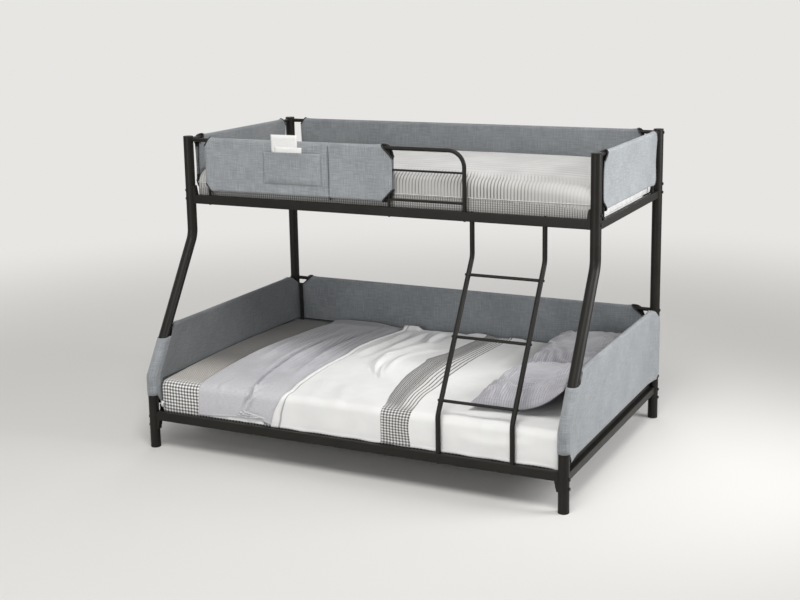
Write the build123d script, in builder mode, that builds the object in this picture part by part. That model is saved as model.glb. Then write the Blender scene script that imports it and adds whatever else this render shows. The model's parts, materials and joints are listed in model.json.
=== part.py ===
from build123d import *
import os
from math import atan2, cos, sin, sqrt

os.makedirs("parts", exist_ok=True)

# Frame layout, millimetres. X runs along the bed, -Y is the ladder side, Z is up.
post_spacing = 2050
frame_depth = 1348
upper_setback = 386
lower_deck_height = 157
deck_rise = 984
guard_rise = 289
post_overtop = 17
lower_bend_height = 345
upper_bend_drop = 176

# Tubes
post_diameter = 48
post_bend_radius = 110
tube_wall = 1.5
rail_height = 42
rail_width = 25
rail_corner = 3
end_rail_height = 35
upper_end_rail_drop = 9.5
lower_end_rail_drop = 10.5
guard_tube_diameter = 19
upright_diameter = 14
low_bar_diameter = 12
mid_bar_diameter = 10
cap_thickness = 5
cap_plug = 6
foot_thickness = 8
foot_plug = 18
cap_edge = 1.5

# Clearances
fit_gap = 0.3
overrun = 5
slat_end_gap = 1

# Side rail ends and their bolts
bracket_depth = 13
bracket_tip = 4
gusset_height = 45
bolt_pitch = 41
lower_bolt_drop = 9
bolt_diameter = 8
bolt_head_diameter = 14
bolt_head_height = 4
small_bolt_diameter = 6
small_head_diameter = 11
small_head_height = 3
insert_length = 16

# Slats and the middle support
ledge_width = 20
ledge_thickness = 3
ledge_end_gap = 60
slat_width = 34
slat_height = 15
slat_corner = 2.5
upper_slat_count = 12
lower_slat_count = 13
slat_end_margin = 90
beam_size = 25
beam_leg_diameter = 25
beam_leg_spacing = 1000

# Guard rails of the upper deck
loop_ladder_gap = 36
loop_radius = 75
front_upright_left = 111
front_upright_spacing = 371
back_upright_inset = 110
end_upright_inset = 95
low_bar_rise = 56
mid_bar_rise = 191

# Bars that carry the lower padded panels
panel_low_rise = 60
panel_bar_spacing = 336

# Ladder
ladder_end_inset = 226
ladder_width = 339
stile_diameter = 22
stile_bend_radius = 60
rung_diameter = 14
rung_count = 3
first_rung_height = 403
rung_pitch = 244

# Padded fabric sleeves
sleeve_wall = 3
upper_sleeve_inset = 75
lower_sleeve_inset = 56
end_sleeve_inset = 72
front_sleeve_left_inset = 100
front_sleeve_overhang = 22
corner_cut_along = 58
corner_cut_up = 46
front_cut_along = 53
front_cut_up = 54
short_cut_along = 30
short_cut_up = 38
wrap_taper = 130
wrap_collar_top_drop = 51
wrap_collar_bottom_rise = 54
wrap_front_cut = 36
wrap_back_top_cut_along = 96
wrap_back_top_cut_up = 72
wrap_back_low_cut_along = 61
wrap_back_low_cut_up = 56

# Storage pocket and the papers in it
pocket_left_inset = 425
pocket_width = 316
pocket_bottom_rise = 42
pocket_height = 158
pocket_depth = 9
pocket_wall = 1.5
booklet_left_inset = 52
booklet_width = 141
booklet_height = 231
booklet_thickness = 4
card_left_inset = 66
card_width = 148
card_height = 156
card_thickness = 1

# Mattresses
upper_mattress_end_gap = 30
upper_mattress_side_gap = 24
upper_mattress_side = 172
upper_mattress_crown = 18
lower_mattress_end_gap = 33
lower_mattress_front_gap = 14
lower_mattress_back_gap = 9
lower_mattress_side = 172
lower_mattress_crown = 20
shoulder_radius = 44
base_radius = 24
end_round = 74
end_draw = 27

# Bedding
blanket_left_inset = 202
blanket_width = 457
blanket_thickness = 5
duvet_thickness = 12
cover_hem_gap = 6
cover_back_inset = 26
pillow_end_gap = 48
pillow_width = 425
pillow_top_swell = 78
pillow_bottom_swell = 28
pillow_edge = 6
pillow_side_draw = 18
pillow_front_inset = 118
pillow_back_inset = 44
pillow_gap = 6
pillow_clearance = 1

# Places worked out from the sizes above
half_length = post_spacing / 2
front_y = -frame_depth / 2
back_y = frame_depth / 2
setback_y = front_y + upper_setback
upper_deck_height = lower_deck_height + deck_rise
upper_bend_height = upper_deck_height - upper_bend_drop
guard_height = upper_deck_height + guard_rise
post_top = guard_height + post_overtop
tube_top = post_top - cap_thickness
post_radius = post_diameter / 2
guard_radius = guard_tube_diameter / 2
upright_radius = upright_diameter / 2
low_bar_height = upper_deck_height + low_bar_rise
mid_bar_height = upper_deck_height + mid_bar_rise
panel_low_height = lower_deck_height + panel_low_rise
panel_top_height = panel_low_height + panel_bar_spacing
upper_rail_top = upper_deck_height + rail_height / 2
upper_rail_base = upper_deck_height - rail_height / 2
lower_rail_top = lower_deck_height + rail_height / 2
lower_rail_base = lower_deck_height - rail_height / 2
leg_slope = upper_setback / (upper_bend_height - lower_bend_height)
leg_angle = atan2(upper_setback, upper_bend_height - lower_bend_height)
slat_top_offset = ledge_thickness + slat_height
ladder_x = (half_length - ladder_end_inset - ladder_width, half_length - ladder_end_inset)
loop_x = ladder_x[0] - loop_ladder_gap
front_upright_right_x = loop_x - front_upright_spacing
upper_mattress_length = post_spacing - upper_mattress_end_gap - upper_mattress_end_gap
upper_mattress_width = frame_depth - upper_setback - upper_mattress_side_gap - upper_mattress_side_gap
lower_mattress_length = post_spacing - lower_mattress_end_gap - lower_mattress_end_gap
lower_mattress_width = frame_depth - rail_width - lower_mattress_front_gap - lower_mattress_back_gap
pillow_length = (frame_depth - pillow_front_inset - pillow_back_inset - pillow_gap) / 2
pillow_front_y = front_y + pillow_front_inset
rung_heights = [first_rung_height + i * rung_pitch for i in range(rung_count)]
sides = {"left": -1, "right": 1}


def leg_y(height):
    """Y of the bent leg's centre line at a height."""
    rise = min(max(height, lower_bend_height), upper_bend_height) - lower_bend_height
    return front_y + rise * leg_slope


def leg_rod(x, radius):
    """Round rod along the whole front leg, used for the tube, its bore and its clearance."""
    with BuildPart() as rod:
        with BuildLine() as route:
            FilletPolyline(
                (x, front_y, foot_thickness),
                (x, front_y, lower_bend_height),
                (x, setback_y, upper_bend_height),
                (x, setback_y, tube_top),
                radius=post_bend_radius,
            )
        with BuildSketch(Plane(origin=route.line @ 0, z_dir=route.line % 0)):
            Circle(radius)
        sweep()
    return rod.part


def upright_rod(x, y, radius, base, top):
    """Solid vertical rod."""
    with BuildPart() as rod:
        with BuildSketch(Plane.XY.offset(base)):
            with Locations((x, y)):
                Circle(radius)
        extrude(amount=top - base)
    return rod.part


def back_post_rod(x, radius):
    return upright_rod(x, back_y, radius, foot_thickness, tube_top)


def tube(start, end, diameter, wall, cutters):
    """Straight round tube between two points, its ends shaped by the solids that it meets."""
    line = Vector(*end) - Vector(*start)
    with BuildPart() as bar:
        with BuildSketch(Plane(origin=start, z_dir=line)):
            Circle(diameter / 2)
            Circle(diameter / 2 - wall, mode=Mode.SUBTRACT)
        extrude(amount=line.length)
        for cutter in cutters:
            add(cutter, mode=Mode.SUBTRACT)
    return bar.part


leg_clearance = {side: leg_rod(sign * half_length, post_radius + fit_gap) for side, sign in sides.items()}
post_clearance = {
    side: back_post_rod(sign * half_length, post_radius + fit_gap) for side, sign in sides.items()
}

upper_bolt_heights = (upper_deck_height, upper_deck_height + bolt_pitch)
lower_bolt_heights = (
    lower_deck_height - lower_bolt_drop,
    lower_deck_height - lower_bolt_drop - bolt_pitch,
)

# Bent front legs and straight back posts
for side, sign in sides.items():
    post_x = sign * half_length
    with BuildPart() as leg:
        add(leg_rod(post_x, post_radius))
        add(leg_rod(post_x, post_radius - tube_wall), mode=Mode.SUBTRACT)
        with BuildSketch(Plane.YZ.offset(post_x)):
            with Locations(*[(setback_y, z) for z in upper_bolt_heights]):
                Circle(bolt_diameter / 2 + fit_gap)
            with Locations(*[(front_y, z) for z in lower_bolt_heights]):
                Circle(bolt_diameter / 2 + fit_gap)
        extrude(amount=post_radius + overrun, both=True, mode=Mode.SUBTRACT)
    leg.part.label = f"front_leg_{side}"
    export_step(leg.part, f"parts/front_leg_{side}.step")

    with BuildPart() as post:
        add(back_post_rod(post_x, post_radius))
        add(back_post_rod(post_x, post_radius - tube_wall), mode=Mode.SUBTRACT)
        with BuildSketch(Plane.YZ.offset(post_x)):
            with Locations(*[(back_y, z) for z in upper_bolt_heights + lower_bolt_heights]):
                Circle(bolt_diameter / 2 + fit_gap)
            with Locations(*[(back_y, z) for z in (guard_height, panel_low_height, panel_top_height)]):
                Circle(small_bolt_diameter / 2 + fit_gap)
        extrude(amount=post_radius + overrun, both=True, mode=Mode.SUBTRACT)
    post.part.label = f"back_post_{side}"
    export_step(post.part, f"parts/back_post_{side}.step")

# Plugged caps on the post tops, and feet under every leg
plug_radius = post_radius - tube_wall - fit_gap
cap_profile = [
    (0, -cap_plug),
    (plug_radius, -cap_plug),
    (plug_radius, 0),
    (post_radius, 0),
    (post_radius, cap_thickness - cap_edge),
    (post_radius - cap_edge, cap_thickness),
    (0, cap_thickness),
]
foot_profile = [
    (0, foot_plug),
    (plug_radius, foot_plug),
    (plug_radius, 0),
    (post_radius, 0),
    (post_radius, cap_edge - foot_thickness),
    (post_radius - cap_edge, -foot_thickness),
    (0, -foot_thickness),
]
top_places = [(s * half_length, y, tube_top) for s in sides.values() for y in (setback_y, back_y)]
foot_places = [(s * half_length, y, foot_thickness) for s in sides.values() for y in (front_y, back_y)]

with BuildPart() as post_caps:
    for place in top_places:
        with BuildSketch(Plane(origin=place, x_dir=(1, 0, 0), z_dir=(0, -1, 0))):
            with BuildLine():
                Polyline(*cap_profile, close=True)
            make_face()
        revolve(axis=Axis(place, (0, 0, 1)))
post_caps.part.label = "post_caps"
export_step(post_caps.part, "parts/post_caps.step")

with BuildPart() as feet:
    for place in foot_places:
        with BuildSketch(Plane(origin=place, x_dir=(1, 0, 0), z_dir=(0, -1, 0))):
            with BuildLine():
                Polyline(*foot_profile, close=True)
            make_face()
        revolve(axis=Axis(place, (0, 0, 1)))
    with BuildSketch(Plane.XY):
        with GridLocations(beam_leg_spacing, 0, 2, 1):
            Circle(beam_leg_diameter / 2)
    extrude(amount=foot_thickness)
    with BuildSketch(Plane.XY.offset(foot_thickness)):
        with GridLocations(beam_leg_spacing, 0, 2, 1):
            Circle(beam_leg_diameter / 2 - tube_wall - fit_gap)
    extrude(amount=foot_plug)
feet.part.label = "feet"
export_step(feet.part, "parts/feet.step")


def side_rail(y, height, inward, gusset_up, bolt_heights, posts, drilled_x):
    """Side rail with the shaped brackets welded to its ends and a ledge for the slats."""
    face_x = half_length - post_radius - fit_gap
    bracket_x = face_x - bracket_depth
    base = height - rail_height / 2
    top = height + rail_height / 2
    if gusset_up:
        outline = [
            (half_length - post_radius, base),
            (bracket_x, base),
            (bracket_x, top),
            (face_x - bracket_tip, top + gusset_height),
            (half_length - post_radius, top + gusset_height),
        ]
    else:
        outline = [
            (half_length - post_radius, top),
            (bracket_x, top),
            (bracket_x, base),
            (face_x - bracket_tip, base - gusset_height),
            (half_length - post_radius, base - gusset_height),
        ]
    saddle = rail_width / 2
    saddle_x = half_length - sqrt(post_radius**2 - saddle**2)
    outline = [(saddle_x if x == half_length - post_radius else x, z) for x, z in outline]
    with BuildPart() as rail:
        with BuildSketch(Plane.YZ):
            with Locations((y, height)):
                RectangleRounded(rail_width, rail_height, rail_corner)
                Rectangle(
                    rail_width - tube_wall - tube_wall,
                    rail_height - tube_wall - tube_wall,
                    mode=Mode.SUBTRACT,
                )
        extrude(amount=bracket_x, both=True)
        for sign in sides.values():
            with BuildSketch(Plane(origin=(0, y, 0), x_dir=(sign, 0, 0), z_dir=(0, -sign, 0))):
                with BuildLine():
                    Polyline(*outline, close=True)
                make_face()
            extrude(amount=saddle, both=True)
        with BuildSketch(Plane.XY.offset(base)):
            with Locations((0, y + inward * (rail_width / 2 + ledge_width / 2 - tube_wall / 2))):
                Rectangle(post_spacing - ledge_end_gap - ledge_end_gap, ledge_width + tube_wall)
        extrude(amount=ledge_thickness)
        with BuildSketch(Plane.YZ.offset(bracket_x - overrun)):
            with Locations(*[(y, z) for z in bolt_heights]):
                Circle(bolt_diameter / 2 + fit_gap)
        extrude(amount=half_length - bracket_x, mode=Mode.SUBTRACT)
        with BuildSketch(Plane.YZ.offset(overrun - bracket_x)):
            with Locations(*[(y, z) for z in bolt_heights]):
                Circle(bolt_diameter / 2 + fit_gap)
        extrude(amount=bracket_x - half_length, mode=Mode.SUBTRACT)
        if drilled_x:
            with BuildSketch(Plane.XY.offset(base - overrun)):
                with Locations(*[(x, y) for x in drilled_x]):
                    Circle(small_bolt_diameter / 2 + fit_gap)
            extrude(amount=rail_height + overrun + overrun, mode=Mode.SUBTRACT)
        for post in posts:
            add(post, mode=Mode.SUBTRACT)
    return rail.part


front_upright_x = (front_upright_left - half_length, front_upright_right_x)
back_upright_x = (back_upright_inset - half_length, half_length - back_upright_inset)
legs = list(leg_clearance.values())
posts = list(post_clearance.values())
rails = {
    "upper_front_rail": side_rail(
        setback_y, upper_deck_height, 1, True, upper_bolt_heights, legs,
        front_upright_x + (loop_x,) + ladder_x,
    ),
    "upper_back_rail": side_rail(
        back_y, upper_deck_height, -1, True, upper_bolt_heights, posts, back_upright_x
    ),
    "lower_front_rail": side_rail(
        front_y, lower_deck_height, 1, False, lower_bolt_heights, legs, ladder_x
    ),
    "lower_back_rail": side_rail(
        back_y, lower_deck_height, -1, False, lower_bolt_heights, posts, ()
    ),
}
for name, rail_part in rails.items():
    rail_part.label = name
    export_step(rail_part, f"parts/{name}.step")

# End rails, welded between the posts of each end
upper_end_height = upper_deck_height - upper_end_rail_drop
lower_end_height = lower_deck_height - lower_end_rail_drop
for side, sign in sides.items():
    for deck, start_y, height in (
        ("upper", setback_y, upper_end_height),
        ("lower", front_y, lower_end_height),
    ):
        with BuildPart() as end_rail:
            with BuildSketch(Plane.XZ.offset(-start_y)):
                with Locations((sign * half_length, height)):
                    RectangleRounded(rail_width, end_rail_height, rail_corner)
                    Rectangle(
                        rail_width - tube_wall - tube_wall,
                        end_rail_height - tube_wall - tube_wall,
                        mode=Mode.SUBTRACT,
                    )
            extrude(amount=start_y - back_y)
            add(leg_clearance[side], mode=Mode.SUBTRACT)
            add(post_clearance[side], mode=Mode.SUBTRACT)
        end_rail.part.label = f"{deck}_end_rail_{side}"
        export_step(end_rail.part, f"parts/{deck}_end_rail_{side}.step")


# Slats: steel tubes that lie on the ledges of the side rails
def slat_row(count, start_y, rail_base):
    reach = post_spacing - slat_end_margin - slat_end_margin - slat_width
    inner_start = start_y + rail_width / 2 + slat_end_gap
    inner_end = back_y - rail_width / 2 - slat_end_gap
    middle = rail_base + ledge_thickness + slat_height / 2
    with BuildPart() as row:
        lying = Plane(origin=(0, inner_start, middle), x_dir=(-1, 0, 0), z_dir=(0, 1, 0))
        with BuildSketch(lying) as row_section:
            with GridLocations(reach / (count - 1), 0, count, 1):
                Rectangle(slat_width, slat_height)
            chamfer(row_section.vertices(), slat_corner)
            with GridLocations(reach / (count - 1), 0, count, 1):
                Rectangle(
                    slat_width - tube_wall - tube_wall,
                    slat_height - tube_wall - tube_wall,
                    mode=Mode.SUBTRACT,
                )
        extrude(amount=inner_end - inner_start)
    return row.part


upper_slats = slat_row(upper_slat_count, setback_y, upper_rail_base)
upper_slats.label = "upper_slats"
export_step(upper_slats, "parts/upper_slats.step")
lower_slats = slat_row(lower_slat_count, front_y, lower_rail_base)
lower_slats.label = "lower_slats"
export_step(lower_slats, "parts/lower_slats.step")

# Middle support under the lower slats
beam_top = lower_rail_base + ledge_thickness
beam_end = half_length - rail_width / 2
with BuildPart() as middle_beam:
    with BuildSketch(Plane.YZ):
        with Locations((0, beam_top - beam_size / 2)):
            RectangleRounded(beam_size, beam_size, rail_corner)
            Rectangle(
                beam_size - tube_wall - tube_wall,
                beam_size - tube_wall - tube_wall,
                mode=Mode.SUBTRACT,
            )
    extrude(amount=beam_end, both=True)
middle_beam.part.label = "middle_beam"
export_step(middle_beam.part, "parts/middle_beam.step")

with BuildPart() as middle_legs:
    with BuildSketch(Plane.XY.offset(foot_thickness)):
        with GridLocations(beam_leg_spacing, 0, 2, 1):
            Circle(beam_leg_diameter / 2)
            Circle(beam_leg_diameter / 2 - tube_wall, mode=Mode.SUBTRACT)
    extrude(amount=beam_top - beam_size - foot_thickness)
middle_legs.part.label = "middle_legs"
export_step(middle_legs.part, "parts/middle_legs.step")

# Front guard: a tube from the left leg that bends down to the rail, with uprights and bars
loop_clearance = upright_rod(
    loop_x, setback_y, guard_radius + fit_gap, upper_rail_top, guard_height - loop_radius
)
with BuildPart() as front_guard_tube:
    with BuildLine() as guard_route:
        FilletPolyline(
            (-half_length, setback_y, guard_height),
            (loop_x, setback_y, guard_height),
            (loop_x, setback_y, upper_rail_top),
            radius=loop_radius,
        )
    with BuildSketch(Plane(origin=guard_route.line @ 0, z_dir=guard_route.line % 0)):
        Circle(guard_radius)
        Circle(guard_radius - tube_wall, mode=Mode.SUBTRACT)
    sweep()
    add(leg_clearance["left"], mode=Mode.SUBTRACT)
front_guard_tube.part.label = "front_guard_tube"
export_step(front_guard_tube.part, "parts/front_guard_tube.step")


def bar_clearance(start, end, diameter):
    line = Vector(*end) - Vector(*start)
    with BuildPart() as rod:
        with BuildSketch(Plane(origin=start, z_dir=line)):
            Circle(diameter / 2 + fit_gap)
        extrude(amount=line.length)
    return rod.part


def uprights(places, base, bar_cutter):
    """Tubes that stand on a rail and meet the underside of the guard's top bar."""
    with BuildPart() as group:
        with BuildSketch(Plane.XY.offset(base)):
            with Locations(*places):
                Circle(upright_radius)
                Circle(upright_radius - tube_wall, mode=Mode.SUBTRACT)
        extrude(amount=guard_height - base)
        add(bar_cutter, mode=Mode.SUBTRACT)
    return group.part


front_bar_cutter = bar_clearance(
    (-half_length, setback_y, guard_height), (loop_x, setback_y, guard_height), guard_tube_diameter
)
front_guard_uprights = uprights(
    [(x, setback_y) for x in front_upright_x], upper_rail_top, front_bar_cutter
)
front_guard_uprights.label = "front_guard_uprights"
export_step(front_guard_uprights, "parts/front_guard_uprights.step")

front_upright_clearance = [
    upright_rod(x, setback_y, upright_radius + fit_gap, upper_rail_top, guard_height)
    for x in front_upright_x
]
with BuildPart() as front_guard_low_bar:
    add(
        tube(
            (front_upright_x[0], setback_y, low_bar_height),
            (loop_x, setback_y, low_bar_height),
            low_bar_diameter,
            tube_wall,
            front_upright_clearance + [loop_clearance],
        )
    )
front_guard_low_bar.part.label = "front_guard_low_bar"
export_step(front_guard_low_bar.part, "parts/front_guard_low_bar.step")

with BuildPart() as front_guard_mid_bar:
    add(
        tube(
            (front_upright_right_x, setback_y, mid_bar_height),
            (loop_x, setback_y, mid_bar_height),
            mid_bar_diameter,
            tube_wall,
            [front_upright_clearance[1], loop_clearance],
        )
    )
front_guard_mid_bar.part.label = "front_guard_mid_bar"
export_step(front_guard_mid_bar.part, "parts/front_guard_mid_bar.step")

# Back guard
back_bar_ends = ((-half_length, back_y, guard_height), (half_length, back_y, guard_height))
back_guard_bar = tube(*back_bar_ends, guard_tube_diameter, tube_wall, posts)
back_guard_bar.label = "back_guard_bar"
export_step(back_guard_bar, "parts/back_guard_bar.step")

back_guard_uprights = uprights(
    [(x, back_y) for x in back_upright_x],
    upper_rail_top,
    bar_clearance(*back_bar_ends, guard_tube_diameter),
)
back_guard_uprights.label = "back_guard_uprights"
export_step(back_guard_uprights, "parts/back_guard_uprights.step")

back_guard_low_bar = tube(
    (back_upright_x[0], back_y, low_bar_height),
    (back_upright_x[1], back_y, low_bar_height),
    low_bar_diameter,
    tube_wall,
    [
        upright_rod(x, back_y, upright_radius + fit_gap, upper_rail_top, guard_height)
        for x in back_upright_x
    ],
)
back_guard_low_bar.label = "back_guard_low_bar"
export_step(back_guard_low_bar, "parts/back_guard_low_bar.step")

# End guards
upper_end_top = upper_end_height + end_rail_height / 2
end_upright_y = (setback_y + end_upright_inset, back_y - end_upright_inset)
for side, sign in sides.items():
    post_x = sign * half_length
    bar_ends = ((post_x, setback_y, guard_height), (post_x, back_y, guard_height))
    end_bar = tube(
        *bar_ends, guard_tube_diameter, tube_wall, [leg_clearance[side], post_clearance[side]]
    )
    end_bar.label = f"end_guard_bar_{side}"
    export_step(end_bar, f"parts/end_guard_bar_{side}.step")

    end_uprights = uprights(
        [(post_x, y) for y in end_upright_y],
        upper_end_top,
        bar_clearance(*bar_ends, guard_tube_diameter),
    )
    end_uprights.label = f"end_guard_uprights_{side}"
    export_step(end_uprights, f"parts/end_guard_uprights_{side}.step")

    end_low_bar = tube(
        (post_x, end_upright_y[0], low_bar_height),
        (post_x, end_upright_y[1], low_bar_height),
        low_bar_diameter,
        tube_wall,
        [
            upright_rod(post_x, y, upright_radius + fit_gap, upper_end_top, guard_height)
            for y in end_upright_y
        ],
    )
    end_low_bar.label = f"end_guard_low_bar_{side}"
    export_step(end_low_bar, f"parts/end_guard_low_bar_{side}.step")

# Bars of the lower panels, one near the deck and one at the panel's top edge
with BuildPart() as lower_back_bars:
    for height in (panel_low_height, panel_top_height):
        add(
            tube(
                (-half_length, back_y, height),
                (half_length, back_y, height),
                guard_tube_diameter,
                tube_wall,
                posts,
            )
        )
lower_back_bars.part.label = "lower_back_bars"
export_step(lower_back_bars.part, "parts/lower_back_bars.step")

for side, sign in sides.items():
    with BuildPart() as lower_end_bars:
        for height in (panel_low_height, panel_top_height):
            add(
                tube(
                    (sign * half_length, leg_y(height), height),
                    (sign * half_length, back_y, height),
                    guard_tube_diameter,
                    tube_wall,
                    [leg_clearance[side], post_clearance[side]],
                )
            )
    lower_end_bars.part.label = f"lower_end_bars_{side}"
    export_step(lower_end_bars.part, f"parts/lower_end_bars_{side}.step")


# Ladder
def stile_rod(x, radius):
    with BuildPart() as rod:
        with BuildLine() as route:
            FilletPolyline(
                (x, front_y, lower_rail_top),
                (x, front_y, lower_bend_height),
                (x, setback_y, upper_bend_height),
                (x, setback_y, upper_rail_base),
                radius=stile_bend_radius,
            )
        with BuildSketch(Plane(origin=route.line @ 0, z_dir=route.line % 0)):
            Circle(radius)
        sweep()
    return rod.part


stile_radius = stile_diameter / 2
for name, x in zip(("left", "right"), ladder_x):
    with BuildPart() as stile:
        add(stile_rod(x, stile_radius))
        add(stile_rod(x, stile_radius - tube_wall), mode=Mode.SUBTRACT)
        with BuildSketch(Plane.YZ.offset(x)):
            with Locations(*[(leg_y(z), z) for z in rung_heights]):
                Circle(small_bolt_diameter / 2 + fit_gap)
        extrude(amount=stile_diameter, both=True, mode=Mode.SUBTRACT)
    stile.part.label = f"ladder_stile_{name}"
    export_step(stile.part, f"parts/ladder_stile_{name}.step")

stile_clearance = [stile_rod(x, stile_radius + fit_gap) for x in ladder_x]
for number, height in enumerate(rung_heights, start=1):
    rung = tube(
        (ladder_x[0], leg_y(height), height),
        (ladder_x[1], leg_y(height), height),
        rung_diameter,
        tube_wall,
        stile_clearance,
    )
    rung.label = f"ladder_rung_{number}"
    export_step(rung, f"parts/ladder_rung_{number}.step")


# Fasteners
def bolt_group(places, direction, shank_diameter, shank_length, head_diameter, head_height):
    """Bolts whose heads sit at the places and whose shanks run along a direction."""
    with BuildPart() as group:
        for place in places:
            seat = Plane(origin=place, z_dir=direction(place))
            with BuildSketch(seat):
                Circle(shank_diameter / 2)
            extrude(amount=shank_length)
            with BuildSketch(seat):
                Circle(head_diameter / 2)
            extrude(amount=-head_height)
    return group.part


def towards_middle(place):
    return (-1, 0, 0) if place[0] > 0 else (1, 0, 0)


head_x = half_length + post_radius + fit_gap
rail_bolt_length = post_diameter + bracket_depth
rail_bolt_places = [
    (sign * head_x, y, z)
    for sign in sides.values()
    for y, heights in (
        (setback_y, upper_bolt_heights),
        (back_y, upper_bolt_heights),
        (front_y, lower_bolt_heights),
        (back_y, lower_bolt_heights),
    )
    for z in heights
]
rail_bolts = bolt_group(
    rail_bolt_places, towards_middle, bolt_diameter, rail_bolt_length, bolt_head_diameter, bolt_head_height
)
rail_bolts.label = "rail_bolts"
export_step(rail_bolts, "parts/rail_bolts.step")

panel_bolt_places = [
    (sign * head_x, back_y, z)
    for sign in sides.values()
    for z in (guard_height, panel_low_height, panel_top_height)
]
panel_bolt_length = post_diameter + insert_length
panel_bolts = bolt_group(
    panel_bolt_places,
    towards_middle,
    small_bolt_diameter,
    panel_bolt_length,
    bolt_head_diameter,
    small_head_height,
)
panel_bolts.label = "panel_bolts"
export_step(panel_bolts, "parts/panel_bolts.step")

# The ladder's bolts pass through the rails into its ends, and the guards' come from below
deck_bolt_length = rail_height + insert_length
guard_feet = [(x, setback_y) for x in front_upright_x + (loop_x,)] + [(x, back_y) for x in back_upright_x]
deck_bolts = bolt_group(
    [(x, front_y, lower_rail_base - fit_gap) for x in ladder_x]
    + [(x, y, upper_rail_base - fit_gap) for x, y in guard_feet]
    + [(x, setback_y, upper_rail_top + fit_gap) for x in ladder_x],
    lambda place: (0, 0, -1) if place[2] > upper_deck_height else (0, 0, 1),
    small_bolt_diameter,
    deck_bolt_length,
    small_head_diameter,
    small_head_height,
)
deck_bolts.label = "deck_bolts"
export_step(deck_bolts, "parts/deck_bolts.step")

rung_bolts = bolt_group(
    [
        (x + sign * (stile_radius + fit_gap), leg_y(z), z)
        for x, sign in zip(ladder_x, sides.values())
        for z in rung_heights
    ],
    lambda place: (1, 0, 0) if place[0] < ladder_x[0] else (-1, 0, 0),
    small_bolt_diameter,
    stile_diameter + insert_length,
    small_head_diameter,
    small_head_height,
)
rung_bolts.label = "rung_bolts"
export_step(rung_bolts, "parts/rung_bolts.step")


# Long nuts inside the tube ends that take the small bolts
def plug_ring(place, direction, tube_diameter):
    with BuildPart() as plug:
        with BuildSketch(Plane(origin=place, z_dir=direction)):
            RegularPolygon(tube_diameter / 2 - tube_wall - fit_gap, side_count=6)
            Circle(small_bolt_diameter / 2 + fit_gap, mode=Mode.SUBTRACT)
        extrude(amount=insert_length)
    return plug.part


plug_offset = post_radius + overrun
with BuildPart() as tube_inserts:
    for sign in sides.values():
        for z in (guard_height, panel_low_height, panel_top_height):
            add(
                plug_ring(
                    (sign * (half_length - plug_offset), back_y, z), (-sign, 0, 0), guard_tube_diameter
                )
            )
    for x in ladder_x:
        add(plug_ring((x, front_y, lower_rail_top), (0, 0, 1), stile_diameter))
        add(plug_ring((x, setback_y, upper_rail_base), (0, 0, -1), stile_diameter))
    for x, y in guard_feet:
        foot_diameter = guard_tube_diameter if x == loop_x else upright_diameter
        add(plug_ring((x, y, upper_rail_top), (0, 0, 1), foot_diameter))
    for x, sign in zip(ladder_x, sides.values()):
        for z in rung_heights:
            add(
                plug_ring(
                    (x - sign * (stile_radius + fit_gap), leg_y(z), z), (-sign, 0, 0), rung_diameter
                )
            )
tube_inserts.part.label = "tube_inserts"
export_step(tube_inserts.part, "parts/tube_inserts.step")


# Padded fabric sleeves, pulled over two bars and cut off at their corners
def sleeve(start, along_y, length, low_height, top_height, low_radius, top_radius, cuts):
    """Sleeve round an upper and a lower bar, open at its four cut corners."""
    x, y = start
    if along_y:
        section = Plane(origin=(x, y, 0), x_dir=(-1, 0, 0), z_dir=(0, 1, 0))
        outline = Plane(origin=(x, y, 0), x_dir=(0, 1, 0), z_dir=(1, 0, 0))
    else:
        section = Plane(origin=(x, y, 0), x_dir=(0, 1, 0), z_dir=(1, 0, 0))
        outline = Plane(origin=(x, y, 0), x_dir=(1, 0, 0), z_dir=(0, -1, 0))
    base = low_height - low_radius - sleeve_wall
    top = top_height + top_radius + sleeve_wall
    (near_along, near_up), (far_along, far_up) = cuts
    corners = [
        (near_along, base),
        (length - far_along, base),
        (length, base + far_up),
        (length, top - far_up),
        (length - far_along, top),
        (near_along, top),
        (0, top - near_up),
        (0, base + near_up),
    ]
    with BuildPart() as panel:
        with BuildSketch(section):
            with Locations((0, top_height)):
                Circle(top_radius + sleeve_wall)
            with Locations((0, low_height)):
                Circle(low_radius + sleeve_wall)
            make_hull()
        extrude(amount=length)
        with BuildSketch(section):
            with Locations((0, top_height)):
                Circle(top_radius)
            with Locations((0, low_height)):
                Circle(low_radius)
            make_hull()
        extrude(amount=length, mode=Mode.SUBTRACT)
        with BuildSketch(outline):
            with BuildLine():
                Polyline(*corners, close=True)
            make_face()
        extrude(amount=top_radius + overrun, both=True, mode=Mode.INTERSECT)
    return panel.part


top_fold = guard_radius + fit_gap
low_fold = upright_radius + fit_gap
front_sleeve_x = front_sleeve_left_inset - half_length
front_sleeve_length = front_upright_right_x + front_sleeve_overhang - front_sleeve_x
plain_cut = (corner_cut_along, corner_cut_up)
upper_front_panel = sleeve(
    (front_sleeve_x, setback_y),
    False,
    front_sleeve_length,
    low_bar_height,
    guard_height,
    low_fold,
    top_fold,
    ((short_cut_along, short_cut_up), (front_cut_along, front_cut_up)),
)
upper_front_panel.label = "upper_front_panel"
export_step(upper_front_panel, "parts/upper_front_panel.step")

upper_back_panel = sleeve(
    (upper_sleeve_inset - half_length, back_y),
    False,
    post_spacing - upper_sleeve_inset - upper_sleeve_inset,
    low_bar_height,
    guard_height,
    low_fold,
    top_fold,
    (plain_cut, plain_cut),
)
upper_back_panel.label = "upper_back_panel"
export_step(upper_back_panel, "parts/upper_back_panel.step")

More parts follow.
